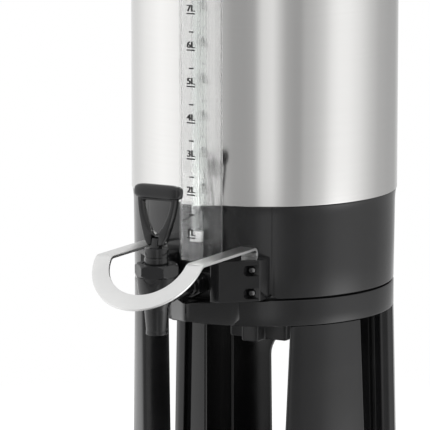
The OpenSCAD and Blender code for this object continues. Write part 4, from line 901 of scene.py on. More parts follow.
class DISPENSER_OT_rear_legs(Operator):
    """Adds the rear moulding: two posts, an apron and the arch between them"""

    bl_idname = "dispenser.rear_legs"
    bl_label = "Rear legs"

    def execute(self, context):
        edge_angle, rib_angle = REAR_LEG_ANGLES
        wall_turn, arch_half, arch_corner, arch_top = 0.2, 48.5, 26, RING_Z - 45
        post_x, post_run, rib_depth = 73.3, 14, 29
        heights = (FOOT_TOP, 100, 180, LEG_TOP)

        def flare(z):
            return RING_R + REAR_FLARE * (LEG_TOP - z) / (LEG_TOP - FOOT_TOP)
        loops = []
        for z, inset in [(FOOT_TOP, 0.8), (FOOT_TOP + 0.8, 0), (60, 0), (120, 0), (180, 0),
                         *LEG_RIM]:
            outer = arc(flare(z), edge_angle, 360 - edge_angle, 60)
            inner = arc(flare(z) - LEG_WALL, 360 - edge_angle - wall_turn,
                        edge_angle + wall_turn, 60)
            loop = offset(upright(outer + inner), inset)
            loops.append([(x, y, z) for x, y in loop])
        form, tool = Form(), Form()
        form.column(loops)
        shell = form.build("rear_moulding", FINISHES["gloss"])
        arch = rounded([(-arch_half, 0), (arch_half, 0), (arch_half, arch_top, arch_corner),
                        (-arch_half, arch_top, arch_corner)], 0, steps=10)
        tool.plate(arch, -180, -20, 0.01, at=turned(90, "X"))
        cut_out(shell, tool.build("arch_tool", FINISHES["gloss"]))
        form = Form()
        # A post's rounded edge, the recess beside it and its inner wall
        edge = rounded([(107, 36.4), (105.2, 31.2, 5), (100, 27.4, 8), (93.6, 26.4, 0.6),
                        (93.2, 29.6), (88, 31), (87.5, 28.4, 0.4), (post_x, 25.6, 0.8),
                        (post_x, 29, 0.8), (86, 34), (95, 34.5), (104.4, 38)], 0, steps=5)
        out = Vector(arc(1, edge_angle, edge_angle, 1)[0])
        for side in (-1, 1):
            loops = []
            for z in heights:
                loop = []
                for x, y in edge:
                    push = (flare(z) - RING_R) * min(1, (x - post_x) / post_run)
                    loop.append((side * (x + out.x * push), y + out.y * push, z))
                loops.append(loop)
            form.loft(loops)
            x0, x1 = sorted((0, -LEG_WALL * side))
            loops = []
            for z in heights:
                ring = rounded([(x0, 1.2 - flare(z)), (x1, 1.2 - flare(z)),
                                (x1, rib_depth - RING_R, 1.0), (x0, rib_depth - RING_R, 1.0)])
                loops.append([(x, y, z) for x, y in ring])
            form.loft(loops, turned(side * rib_angle, "Z"))
            foot = (arc(flare(FOOT_TOP + 2) - 1.5, edge_angle, rib_angle, 8)
                    + arc(RING_R - rib_depth, rib_angle, edge_angle, 8))
            form.plate([(side * x, y) for x, y in foot], *LEG_FOOT, 0.4)
            tongue(form, side * (edge_angle + rib_angle) / 2)
        ribs = form.build("rear_ribs", FINISHES["gloss"])
        fit(shell, "root", "black_plastic", "rear_legs")
        fit(ribs, "root", "black_plastic")
        return {"FINISHED"}


class DISPENSER_OT_foot(Operator):
    """Adds the foot plate with its tongue and channel, and the rubber pads"""

    bl_idname = "dispenser.foot"
    bl_label = "Foot plate and pads"

    def execute(self, context):
        half_w, plate_r, back_y, end_y, end_r = 78, 124, -96.4, -240, 22
        bay_x, bay_y, bay_end, prong_y = 69, -141, -250, -257.7
        form = Form()
        side = math.degrees(math.asin(half_w / plate_r))
        tongue_end = [(half_w, end_y), *arc(end_r, 90, 0, 8, half_w - end_r, end_y)[1:]]
        back = [(half_w, back_y), *arc(plate_r, side, 360 - side, 96)[1:-1], (-half_w, back_y)]
        form.plate(tongue_end[::-1] + back + [(-x, y) for x, y in tongue_end],
                   PLATE_Z, PLATE_Z + 4, 0.8)
        prong = [p for p in tongue_end if p[0] > bay_x + 0.5] + [(bay_x, prong_y)]
        bend = rounded([(-bay_x, bay_end), (-bay_x, bay_y, 3.0), (bay_x, bay_y, 3.0),
                        (bay_x, bay_end)], 0, False)[1:-1]
        rim = prong[::-1] + back + [(-x, y) for x, y in prong] + bend
        form.plate(rim, PLATE_Z + 2.5, FOOT_TOP, 1.2)
        dress(form, "foot_moulding", "gloss", "root", "black_plastic", "foot_plate")
        form = Form()
        pad_ring, pad_x, pad_y = 104, 58, -242
        pad_r, pad_top, hollow_r = 13, 4.5, 9
        places = [(0, 0), *(arc(pad_ring, a, a, 1)[0] for a in (45, 135, 225, 315)),
                  (-pad_x, pad_y), (pad_x, pad_y)]
        profile = rounded([(CORE_R, 0.6), (hollow_r - 0.5, 0.6, 0.4), (hollow_r, 0, 0.5),
                           (pad_r, 0, 1.0), (pad_r, pad_top, 0.5), (CORE_R, pad_top)], 0, False)
        for x, y in places:
            form.turn(profile, 48, Matrix.Translation((x, y, 0)))
        dress(form, "foot_pads", "rubber", "root", "pad_rubber", "rubber_pads")
        return {"FINISHED"}


class DISPENSER_OT_tray(Operator):
    """Adds the drip tray and its slotted steel grid"""

    bl_idname = "dispenser.tray"
    bl_label = "Drip tray and grid"

    def execute(self, context):
        middle = halfway("drip_grid", Y)
        grid_w, grid_l = (high - low for low, high in (span("drip_grid", X), span("drip_grid", Y)))
        border, slot_w = 12, 4.2
        loops = []
        # Width, length, corner radius and height of the tray's wall, up its outside and down inside
        for w, l, r, z in ((134.6, 120.6, 11.3, 7.3), (135.6, 121.6, 11.8, 7.7),
                           (136, 122, 12, 8.6), (136, 122, 12, 26.4), (135.6, 121.6, 11.8, 27.1),
                           (135, 121, 11.5, 27.3), (132.9, 118.9, 10.5, 27.3),
                           (132.3, 118.3, 10.2, 27.0), (132.1, 118.1, 10.1, 26.4),
                           (132, 118, 10, 25.4), (131.7, 117.7, 9.9, 25.2),
                           (128.4, 114.4, 8.2, 25.2), (128, 114, 8, 24.9), (127.2, 113.2, 7.6, 12),
                           (125.6, 111.6, 7, 10), (122.5, 108.5, 5.6, 9.3)):
            loops.append([(x, y, z) for x, y in block(w, l, r, 0, middle, 6)])
        form = Form()
        form.loft(loops)
        lip_half, lip_y, lip_root = 35, span("drip_tray", Y)[0], -262
        lip = rounded([(-lip_half, lip_root), (2 - lip_half, lip_y, 5), (lip_half - 2, lip_y, 5),
                       (lip_half, lip_root)], 0, False)
        form.plate(lip, TRAY_TOP - 7, TRAY_TOP - 0.1, 1.6)
        dress(form, "tray_moulding", "gloss", "tray", "black_plastic", "drip_tray")
        slots = context.scene.dispenser_sizes.grid_slots
        pitch = (grid_w - 2 * border) / slots
        holes = [block(slot_w, grid_l - 2 * border, 2.09, (i - (slots - 1) / 2) * pitch, middle)
                 for i in range(slots)]
        form = Form()
        form.plate(block(grid_w, grid_l, 9.6, 0, middle), GRID_Z, GRID_TOP, 0.35, holes)
        dress(form, "grid_plate", "inner", "grid", "inner_steel", "drip_grid")
        return {"FINISHED"}


class DISPENSER_OT_clamp(Operator):
    """Adds the winged clamp knob under the deck"""

    bl_idname = "dispenser.clamp"
    bl_label = "Clamp knob"

    def execute(self, context):
        reach, wing, flank, hub, hole_r = 28, 8, 12, 15, 5.1
        quarter = [(wing, -reach, 3), (wing, -flank - 1, 3), (hub, -flank, 2), (reach, -flank, 3)]
        half = quarter + [(x, -y, r) for x, y, r in quarter[::-1]]
        hole = [(hole_r * math.cos(a), hole_r * math.sin(a)) for a in bearings(32)]
        form = Form()
        form.plate(rounded(half + mirrored(half)), KNOB_Z, KNOB_TOP, 1.6, [hole])
        dress(form, "knob_wings", "knob", "knob", "knob_plastic", "clamp_knob")
        return {"FINISHED"}


# Tap


def hexagon(radius, turn, chamfer, z0, z1):
    """Gives a turned nut its six flats and the chamfers at both ends."""
    wall, blunt, slant = 4, 0.12, 1.2

    def shape(a, r, z):
        if r < radius - wall:
            return r, z
        side = (a - math.radians(turn)) % (math.pi / 3) - math.pi / 6
        flat = min(radius * math.cos(math.pi / 6) / math.cos(side), radius - blunt)
        return min(flat, radius - chamfer + min(z - z0, z1 - z) * slant), z
    return shape


class DISPENSER_OT_tap(Operator):
    """Adds the tap's body, union nut, hexagon bonnet and neck"""

    bl_idname = "dispenser.tap"
    bl_label = "Tap"

    def execute(self, context):
        at = Matrix.Translation((0, TAP_Y, 0))
        bore_r, spout_r, lip_h, seat_z = 6.4, 9.0, 3, 279
        top_r, cup_r, cup_z = 16.8, 13, 291
        pipe_bore_r, boss_r, pipe_r, pipe_len, pipe_y = 4.6, 8.5, 7.6, 41, -134.3
        form = Form()
        form.spin(rounded([(bore_r, TAP_LOW_Z), (spout_r, TAP_LOW_Z, 0.5),
                           (spout_r, TAP_LOW_Z + lip_h, 0.3), (8.7, TAP_LOW_Z + 3.4, 0.2),
                           (10.4, 276, 8.0), (15.4, 290, 8.0), (top_r, TAP_TOP_Z, 0.7),
                           (cup_r, TAP_TOP_Z), (cup_r, cup_z), (9.2, seat_z),
                           (bore_r, seat_z, 0.4)], 0.3, steps=5), MID_STEPS, at)
        form.spin(rounded([(pipe_bore_r, 0), (boss_r, 0, 0.6), (boss_r, 3.4, 0.4),
                           (pipe_r, 4.2, 0.4), (pipe_r, 30), (boss_r, 33, 1.0),
                           (boss_r, pipe_len), (pipe_bore_r, pipe_len)], 0.2),
                  SMALL_STEPS, along_y(pipe_y, TAP_Z))
        form.spin(pipe(6.0, pipe_bore_r, 0, 8, 0.3), 48, along_y(span("tap_body", Y)[1], TAP_Z))
        dress(form, "tap_barrel", "tap", "root", "tap_plastic", "tap_body")
        # The bonnet's nut and the skirt that it draws into the tap
        form = Form()
        r, z0, z1 = 18.8, TAP_TOP_Z, NUT_TOP
        thread_r, skirt_z, recess_r, recess = 9.7, 297.2, 12.4, 0.5
        rings = [(thread_r, z0)] + [(r, z) for z in (
            z0, z0 + 0.5, z0 + 1, z0 + 1.6, z0 + 2.2, z0 + 5, z1 - 2.4, z1 - 1.8, z1 - 1.2,
            z1 - 0.6, z1)]
        rings += [(recess_r, z1), (recess_r, z1 - recess), (thread_r, z1 - recess)]
        form.spin(rings, 180, at, hexagon(r, 47, 2.2, z0, z1))
        form.spin(pipe(12.8, thread_r, skirt_z, z0 + 2, 0.4), SMALL_STEPS, at)
        dress(form, "bonnet_hexagon", "tap", "root", "tap_plastic", "bonnet_nut", sharp=24)
        # The neck with its spring's bore, its groove and the lug that carries the lever
        form = Form()
        neck_r, spring_top, groove_z, groove = 10, 322, 318.6, 0.3
        stem_bore_r, spring_r, skirt_r = 3.1, 8.3, 9.55
        bore_top = NECK_TOP - 0.2
        form.turn(rounded([(CORE_R, bore_top), (stem_bore_r, bore_top), (stem_bore_r, spring_top),
                           (spring_r, spring_top), (spring_r, skirt_z), (skirt_r, skirt_z, 0.4),
                           (skirt_r, NUT_TOP), (neck_r, NUT_TOP), (neck_r, groove_z, 0.3),
                           (neck_r - groove, groove_z + 0.4, 0.2),
                           (neck_r - groove, groove_z + 1.6, 0.2), (neck_r, groove_z + 2, 0.3),
                           (neck_r, NECK_TOP, 1.0), (CORE_R, NECK_TOP)], 0, False), MID_STEPS, at)
        lug = rounded([(-4.6, -7), (4.6, -7), (3.2, 0), (2.8, 1.9, 1.2), (0, 3.2, 1.6),
                       (-2.8, 1.9, 1.2), (-3.2, 0)], 0.4, steps=5)
        lug_half = 3
        form.plate(lug, -lug_half, lug_half, 0.4,
                   at=Matrix.Translation((0, TAP_Y, PIVOT_Z)) @ turned(90, "Z") @ turned(90, "X"))
        dress(form, "bonnet_cap", "tap", "root", "tap_plastic", "bonnet_neck")
        # The union nut behind the tap
        form = Form()
        r, z0, z1, bore_r = 11, 0, 15, 6.1
        rings = [(bore_r, z0)] + [(r, z) for z in (z0, 0.4, 0.8, 1.4, 4, 11, 13.6, 14.2, 14.6, z1)]
        form.spin([*rings, (bore_r, z1)], 120, along_y(span("union_nut", Y)[1], TAP_Z),
                  hexagon(r, 0, 1.6, z0, z1))
        dress(form, "union_hexagon", "tap", "root", "tap_plastic", "union_nut", sharp=24)
        return {"FINISHED"}


def loop_width(h):
    """Half width of the lever's loop at a height above its foot."""
    foot, spread, loop_h = 8, 10.2, 46.2
    return foot + spread * math.sin(math.pi / 2 * min(1, max(0, h / loop_h)))


class DISPENSER_OT_lever(Operator):
    """Adds the lever: a loop round its window under a rounded crossbar"""

    bl_idname = "dispenser.lever"
    bl_label = "Tap lever"

    def execute(self, context):
        at = Matrix.Translation((0, TAP_Y, PIVOT_Z)) @ turned(-5.5, "X") @ turned(90, "X")
        foot_z, foot_r, limb, limb_half = -5.2, 5.1, 4.2, 4
        window_z, window_h, corner = 5.3, 27.9, 2.6
        bar_half, bar_h, bar_z = 23, 12.6, 40.4
        right = [(loop_width(h), h + foot_z) for h in (*range(6, 43, 4), 44)]
        foot = rounded([(0, 4.3), (3.4, 4.3, 0.6), (3.4, -4.2, 0.8), (5.4, -5.1, 1.5),
                        (8.0, -3.2, 2.5), (8.9, 0.2)], 0, False)[1:-1]
        half = foot + right
        window = []
        for k in range(13):
            s = k / 12
            z = window_z + window_h * s
            w = (loop_width(z - foot_z) - limb) * (1 - (1 - s) ** 2.5) ** 0.4
            window.append((w, z))
        (x0, z0), (x1, z1) = window[-2:]
        top = rounded([(x0, z0), (x1, z1, corner), (-x1, z1, corner), (-x0, z0)], 0, False)[1:-1]
        hole = window[:-1] + top + mirrored(window[1:-1])
        form = Form()
        form.plate(half + mirrored(half), -limb_half, limb_half, 1.3, [hole], steps=4)
        # Below the pin the foot stays within a circle, so that it can turn in the neck
        for v in form.verts:
            if v.y < 0:
                half = math.sqrt(max(0.3, foot_r ** 2 - v.y ** 2))
                v.z = max(-half, min(half, v.z))
        form.verts = [at @ v for v in form.verts]
        # The crossbar: places along it and the share of its section that each one has
        bar = []
        for k in range(15):
            s = -1 + 2 * k / 14
            s = math.copysign(abs(s) ** 0.6, s)
            scale = (1 - abs(s) ** 7) ** 0.5 if abs(s) < 1 else 0.0
            bar.append((bar_half * s, max(0.12, scale)))
        section = block(bar_h, bar_h, 4.6, steps=6)
        form.loft([[(x, bar_z + b * k, a * k) for a, b in section] for x, k in bar], at)
        dress(form, "lever_loop", "tap", "lever", "tap_plastic", "tap_handle")
        return {"FINISHED"}


class DISPENSER_OT_housing(Operator):
    """Adds the housing: two cheeks with open screw pockets and the web between them"""

    bl_idname = "dispenser.housing"
    bl_label = "Tap housing"

    def execute(self, context):
        plastic = FINISHES["gloss"]
        gap_half, land_x = 22.4, 32
        outer_x, front_y = span("tap_housing", X)[1], span("tap_housing", Y)[0]
        pocket_x, pocket_half, pocket_edge = 47.7, 4.6, 2.8
        inner_angle, outer_angle = (math.degrees(math.asin(x / HIDDEN_R))
                                    for x in (gap_half, outer_x))
        front = rounded([(outer_x, -95), (outer_x, -SHELL_R, 1.2), (land_x, front_y, 0.8),
                         (gap_half, front_y, 2), (gap_half, -109)], 0, False, 6)[1:-1]
        form, tool = Form(), Form()
        form.plate(arc(HIDDEN_R, inner_angle, outer_angle, 10) + front, CHEEK_Z, CHEEK_TOP, 0.7)
        for z in SCREW_ROWS:
            low, high = z - pocket_half, z + pocket_half
            pocket = rounded([(pocket_x, low, pocket_edge), (70, low), (70, high),
                              (pocket_x, high, pocket_edge)])
            tool.loft([[(x, -y, z) for x, z in pocket] for y in (SCREW_SEAT, 160)])
        cheeks = form.build("housing_cheeks", plastic)
        cut_out(cheeks, tool.build("pocket_tool", plastic))
        mirror_over(cheeks.data)
        web_x, web_y, web_top = 25.5, -117.4, CHEEK_Z + 20.5
        web = arc(HIDDEN_R, -13, 13, 6) + [(web_x, web_y), (-web_x, web_y)]
        form = Form()
        form.plate(web, CHEEK_Z, web_top, 0.6)
        fit(cheeks, "root", "black_plastic", "tap_housing")
        fit(form.build("housing_web", plastic), "root", "black_plastic")
        return {"FINISHED"}


def guard_stations():
    """The guard's middle line: up a tab, along an arm, round the bow and back."""
    slope = math.radians(44.5)
    c, s = math.cos(slope), math.sin(slope)
    half = GUARD_T / 2
    top = GUARD_TOP - half
    tab_y, bow_y, after_crease, bend_r, crease_r = -106.44, TAP_Y - 12.5, 9, 4.25, 4.5
    centre = Vector((0, bow_y + half * s, GUARD_TOP - half * c))
    crease_y = centre.y + (centre.z - top) * c / s
    side_line = rounded([(tab_y, GUARD_LOW_Z), (tab_y, top, bend_r), (crease_y, top, crease_r),
                         (crease_y - after_crease * c, top - after_crease * s)], 0, False, 8)
    arms = {1: [], -1: []}
    for i, (y, z) in enumerate(side_line[:-1]):
        a, b = side_line[max(i - 1, 0)], side_line[i + 1]
        normal = Vector((0, b[0] - a[0], b[1] - a[1])).normalized().cross(Vector((1, 0, 0)))
        for side, arm in arms.items():
            arm.append((Vector((side * GUARD_MID, y, z)), Vector((side, 0, 0)), normal))
    normal = Vector((0, -s, c))
    bow = []
    for k in range(49):
        a = math.radians(2 + 176 * k / 48)
        out = Vector((math.cos(a), -math.sin(a) * c, -math.sin(a) * s))
        bow.append((centre + out * GUARD_MID, out, normal))
    return arms[1] + bow + arms[-1][::-1]


class DISPENSER_OT_guard(Operator):
    """Adds the bent flat bar round the tap"""

    bl_idname = "dispenser.guard"
    bl_label = "Drip guard"

    def execute(self, context):
        form = Form()
        form.sweep(guard_stations(), block(GUARD_W, GUARD_T, 0.45, steps=3))
        tab_w, tab_h, tab_x, tab_z, tab_back, tab_front = 19, 28.2, 45.5, 292.2, 105.3, 107.6
        for side in (-1, 1):
            tab = block(tab_w, tab_h, 1.2, side * tab_x, tab_z)
            form.plate(tab, tab_back, tab_front, 0.4, at=turned(90, "X"))
        dress(form, "guard_bar", "guard", "root", "guard_steel", "guard_strip", sharp=30)
        return {"FINISHED"}


def screw(form, at, radius, height, shank_r, shank):
    """A button-head screw along Z with a hexagon socket; its seat is at z = 0."""
    def socket(a, r, z):
        if r < radius * 0.5:
            side = a % (math.pi / 3) - math.pi / 6
            return r * math.cos(math.pi / 6) / math.cos(side), z
        return r, z
    deep, shoulder, flat_r, socket_r = height * 0.35, height * 0.45, radius * 0.62, radius * 0.45
    profile = rounded([(CORE_R, -shank), (shank_r, -shank, 0.4), (shank_r, 0), (radius, 0, 0.3),
                       (radius, shoulder, radius * 0.5), (flat_r, height, 0.5),
                       (radius * 0.47, height, 0.1), (socket_r, deep), (CORE_R, deep)], 0, False)
    form.turn(profile, 36, at, socket)


class DISPENSER_OT_screws(Operator):
    """Adds the screws that show: guard, shield and carry handles"""

    bl_idname = "dispenser.screws"
    bl_label = "Screws"

    def execute(self, context):
        guard_x, handle_y = 51, 22
        form = Form()
        for x in (-guard_x, guard_x):
            for z in SCREW_ROWS:
                screw(form, along_y(-SCREW_SEAT, z, x), 3, 2.4, 1.95, 9)
        dress(form, "guard_bolts", "bolt", "root", "bright_steel", "guard_screws")
        form = Form()
        screw(form, along_y(SHIELD_Y, SHIELD_TOP - 9), 3, 1.6, 1.5, 6)
        dress(form, "shield_bolt", "bright", "root", "bright_steel", "shield_screws")
        form = Form()
        for side in (-1, 1):
            for y in (-handle_y, handle_y):
                place = Matrix.Translation((side * (PAD_X + 2.5), y, HANDLE_Z))
                at = place @ turned(90 * side, "Y")
                screw(form, at, 4.5, 2.5, 2.5, 6)
        dress(form, "handle_bolts", "bright", "root", "bright_steel", "handle_screws")
        return {"FINISHED"}


# Sight gauge


class DISPENSER_OT_gauge(Operator):
    """Adds the sight tube with its elbow, gland, nut and cap"""

    bl_idname = "dispenser.gauge"
    bl_label = "Sight gauge"

    def execute(self, context):
        at = Matrix.Translation((0, GAUGE_Y, 0))
        form = Form()
        form.spin(pipe(4, 3, TUBE_Z, TUBE_TOP, 0.3), SMALL_STEPS, at)
        dress(form, "gauge_tube", "glass", "root", "gauge_glass", "sight_tube")
        # The elbow: its upright limb, its limb through the collar and the disc on the collar
        low_z, limb_r, limb_len = span("gauge_elbow", Z)[0], 5.2, 17.6
        disc_r, disc_back, disc_front = 11.5, 114.1, 115.3
        limb = rounded([(CORE_R, -4.6), (5.7, -4.6, 4.0), (5.7, 3, 0.6), (6.5, 4.4, 0.6),
                        (6.5, limb_len, 0.4), (CORE_R, limb_len)], 0, False, 6)
        form = Form()
        form.turn(rounded([(CORE_R, low_z), (3.6, low_z, 1.4), (limb_r, low_z + 3, 2.5),
                           (limb_r, GLAND_Z, 0.4), (CORE_R, GLAND_Z)], 0, False, 5),
                  SMALL_STEPS, at)
        form.turn(limb, SMALL_STEPS, along_y(-103.2, GAUGE_PORT_Z)
                  @ Matrix.Scale(-1, 4, (0, 0, 1)) @ Matrix.Translation((0, 0, -limb_len)))
        form.turn(disc(disc_r, disc_back, disc_front, 0.4), SMALL_STEPS, along_y(0, TUBE_Z))
        dress(form, "elbow_moulding", "fitting", "root", "fitting_plastic", "gauge_elbow")

        def ribbed(a, r, z):
            rib, in_r, ribs = 0.25, 4.9, 24
            return r - (rib if r > in_r and int(a * ribs / math.pi) % 2 else 0), z
        bore_r, nut_z, nut_top = 4.1, *span("gauge_nut", Z)
        form = Form()
        form.spin(pipe(limb_r, bore_r, GLAND_Z, nut_z - 0.2, 0.5), MID_STEPS, at)
        dress(form, "gland_moulding", "fitting", "root", "fitting_plastic", "gauge_gland")
        form = Form()
        form.spin(pipe(5.4, bore_r, nut_z, nut_top, 0.6), MID_STEPS, at, ribbed)
        dress(form, "gauge_ferrule", "guard", "root", "bright_steel", "gauge_nut", sharp=30)
        form = Form()
        cap_z, cap_top = span("tube_cap", Z)
        cap_r, half_w, front_y, back_y = 5.8, 5.6, -119, -112.4
        form.spin(pipe(cap_r, bore_r, cap_z, TUBE_TOP, 0.8), SMALL_STEPS, at)
        form.turn(disc(cap_r, TUBE_TOP - 0.1, cap_top, 2.0), SMALL_STEPS, at)
        form.plate(rounded([(-half_w, front_y), (half_w, front_y), (half_w, back_y),
                            (-half_w, back_y)]), cap_z + 0.7, cap_top - 0.7, 0.4)
        dress(form, "cap_moulding", "fitting", "root", "fitting_plastic", "tube_cap")
        return {"FINISHED"}


def scale_height(litres):
    """Height of a mark on the gauge; the lowest ones crowd where the liner is rounded."""
    one_z, one_and_half_z, two_z, litre_h = 326.3, 346.1, 363.0, 30.78
    if litres < 1.25:
        return one_z
    if litres < 1.75:
        return one_and_half_z
    return two_z + (litres - 2) * litre_h


def figure(text, height):
    """Flat outline of a few characters as a mesh."""
    size_share, stroke_share, thickness = 1.38, 0.015, 0.00003
    curve = bpy.data.curves.new("figure", "FONT")
    curve.body = text
    curve.size = height * size_share
    curve.align_x = "CENTER"
    curve.offset = height * stroke_share
    curve.extrude = thickness
    obj = bpy.data.objects.new("figure", curve)
    bpy.context.scene.collection.objects.link(obj)
    graph = bpy.context.evaluated_depsgraph_get()
    mesh = bpy.data.meshes.new_from_object(obj.evaluated_get(graph))
    points = [v.co.copy() / MM for v in mesh.vertices]
    faces = [list(p.vertices) for p in mesh.polygons]
    bpy.data.objects.remove(obj)
    bpy.data.curves.remove(curve)
    bpy.data.meshes.remove(mesh)
    return points, faces


class DISPENSER_OT_shield(Operator):
    """Adds the clear angled shield and the litre scale printed on its face"""

    bl_idname = "dispenser.shield"
    bl_label = "Gauge shield and scale"

    def execute(self, context):
        sizes = context.scene.dispenser_sizes
        wall, front_half, back_half, stand, back = 1.4, 11, 19.8, 12.5, -113.7
        lean = (back_half - front_half) / stand
        flank = front_half + (back - SHIELD_Y) * lean
        slant = wall * math.sqrt(1 + lean * lean)
        inner_y, narrow = SHIELD_Y + wall, front_half + wall * lean - slant
        out = [(flank, back), (front_half, SHIELD_Y, 1.6), (-front_half, SHIELD_Y, 1.6),
               (-flank, back)]
        inside = [(-flank + slant, back), (-narrow, inner_y, 0.8), (narrow, inner_y, 0.8),
                  (flank - slant, back)]
        form = Form()
        form.plate(rounded(out, 0, False, 5) + rounded(inside, 0, False, 5),
                   SHIELD_Z, SHIELD_TOP, 0.35)
        dress(form, "shield_cover", "clear", "root", "clear_plastic", "tube_shield")
        form = Form()
        # The print lies on the shield's face; shifted copies of a figure make its strokes bold
        face = along_y(SHIELD_Y - 0.1, 0, -1.4)
        height, tick_t, ink_half = sizes.mark_height / MM, 1.1, 0.06
        for half_litres in range(2, 19):
            z = scale_height(half_litres / 2)
            whole = half_litres % 2 == 0
            length = (sizes.long_tick if whole else sizes.short_tick) / MM
            tick = block(length, tick_t, 0.3, 0.0 if whole else 0.4, z)
            form.plate(tick, -ink_half, ink_half, 0.02, at=face)
            if whole:
                points, faces = figure(f"{half_litres // 2}L", sizes.mark_height)
                for bold in (-0.39, -0.13, 0.13, 0.39):
                    rise = Vector((bold, z + 0.35 * height, 0.05 * bold))
                    form.add([p + rise for p in points], faces, face)
        dress(form, "litre_scale", "ink", "root", "black_plastic")
        return {"FINISHED"}


# Lid


class DISPENSER_OT_lid(Operator):
    """Adds the lid's cover, knob, gasket and foam"""

    bl_idname = "dispenser.lid"
    bl_label = "Lid"

    def execute(self, context):
        hole_r, plug_r, lid_r, under_top = 3.1, 97.4, SHELL_R - 1.5, LID_TOP - 3
        groove_z, groove, dish_r, dish_in, dish = 641.5, 0.6, 96, 37.5, 1.2
        cover = rounded([(hole_r, under_top), (plug_r, under_top), (plug_r, LID_Z),
                         (lid_r, LID_Z, 1.0), (lid_r, groove_z, 0.4),
                         (lid_r - groove, groove_z + 0.6, 0.3),
                         (lid_r - groove, groove_z + 1.6, 0.3), (lid_r, groove_z + 2.2, 0.4),
                         (lid_r, LID_TOP, 8.0), (dish_r, LID_TOP, 2.0),
                         (dish_r - 2.5, LID_TOP - dish, 2.0), (dish_in + 2.5, LID_TOP - dish, 2.0),
                         (dish_in, LID_TOP, 2.0), (hole_r, LID_TOP)], 0.3, steps=5)
        form = Form()
        form.spin(cover, BIG_STEPS)
        for k in range(12):
            form.plate(block(3, 44, 1.49, 0, -66), LID_TOP - 1.8, LID_TOP - 0.4, 0.5,
                       at=turned(30 * k, "Z"))
        dress(form, "lid_moulding", "gloss", "lid", "black_plastic", "lid_cover")
        grip_r, stem_r, pit_r, pit = 21, 11, 9.5, 0.5
        pit_z, edge_z = GRIP_TOP - pit, GRIP_TOP - 3.4

        def scallop(a, r, z):
            start, run, depth = 12.5, 6, 0.9
            if r > start:
                r -= depth * (0.5 + 0.5 * math.cos(10 * a)) * min(1, (r - start) / run)
            return r, z
        form = Form()
        knob = rounded([(CORE_R, LID_TOP), (13.4, LID_TOP, 1.0), (stem_r, 657, 2.5),
                        (stem_r, 665, 4.0), (grip_r, 668.2, 6.0), (grip_r, edge_z, 5.0),
                        (14, GRIP_TOP, 6.0), (pit_r, GRIP_TOP, 0.5), (pit_r - 0.5, pit_z, 0.3),
                        (CORE_R, pit_z)], 0.2, False, 6)
        form.turn(knob, 160, shape=scallop)
        dress(form, "lid_grip", "knob", "lid", "knob_plastic", "lid_knob", sharp=50)
        form = Form()
        seat_r, rib_r, root_r, seal_z, seal_top = 99.5, 101.4, 100.6, 617.7, 622.5
        form.spin(rounded([(seat_r, seal_z), (100.7, seal_z), (rib_r, 618.6), (root_r, 619.4),
                           (rib_r, 620.2), (root_r, 621.0), (101.3, 621.9), (root_r, seal_top),
                           (seat_r, seal_top)], 0.25), 192)
        dress(form, "lid_seal", "silicone", "lid", "silicone", "lid_gasket")
        form = Form()
        foam_r, foam_z, foam_top, pocket_r, pocket_z = 97.0, 609, 651.2, 6.4, 648
        form.turn(rounded([(CORE_R, foam_z), (foam_r, foam_z, 2.0), (foam_r, foam_top, 2.0),
                           (pocket_r, foam_top), (pocket_r, pocket_z), (CORE_R, pocket_z)],
                          0, False))
        dress(form, "lid_filling", "foam", "lid", "foam", "lid_foam")
        return {"FINISHED"}


class DISPENSER_OT_inner(Operator):
    """Adds the foam jacket and finishes the CAD nodes that stay"""

    bl_idname = "dispenser.inner"
    bl_label = "Inner pieces"

    def execute(self, context):
        jacket_r, jacket_bore_r, jacket_z, jacket_top = 114.0, 103.0, 359, 627
        form = Form()
        form.spin(pipe(jacket_r, jacket_bore_r, jacket_z, jacket_top, 2.0), MID_STEPS)
        dress(form, "foam_jacket", "foam", "root", "foam", "insulation")
        refinish(FINISHES["inner"], "inner_liner", "lid_plug", "drain_elbow", "gauge_stub")
        refinish(FINISHES["bright"], "leg_screws", "clamp_washer", "clamp_stud", "tap_stem",
                 "return_spring", "handle_pin", "lid_screw")
        refinish(FINISHES["silicone"], "drain_seal", "shank_gasket", "seat_cup", "gauge_seal")
        return {"FINISHED"}


# Stage

# The camera, fitted to the photograph's outlines, and its direction round the axis in degrees
CAMERA_PLACE = (1.62209, -3.01503, 0.91751)
CAMERA_AIM = (-0.47775, 0.86188, -0.17004)
CAMERA_SIDE = 29.0
CARD_RADIUS = 1.4
CARD_FOOT, CARD_TOP = -1.5, 1.6
FLOOR_HALF, FLOOR_BACK = 9.0, 22.0
# Distances from the axis between which the floor turns white
FLOOR_FADE = (0.35, 0.85)
FLOOR_LIFT = 0.45
WORLD_LEVEL = 0.35
# Each lamp's name, direction from the camera, distance, height, size and watts
LAMPS = (
    ("key", -62, 1.7, 1.2, (1.3, 1.5), 26), ("fill", 66, 1.9, 1.1, (0.8, 1.5), 12),
    ("top", -10, 0.5, 2.2, (1.6, 1.6), 22), ("rear", 170, 1.9, 1.5, (1.4, 1.2), 10),
)
LAMP_AIM = Vector((0, 0, 0.32))

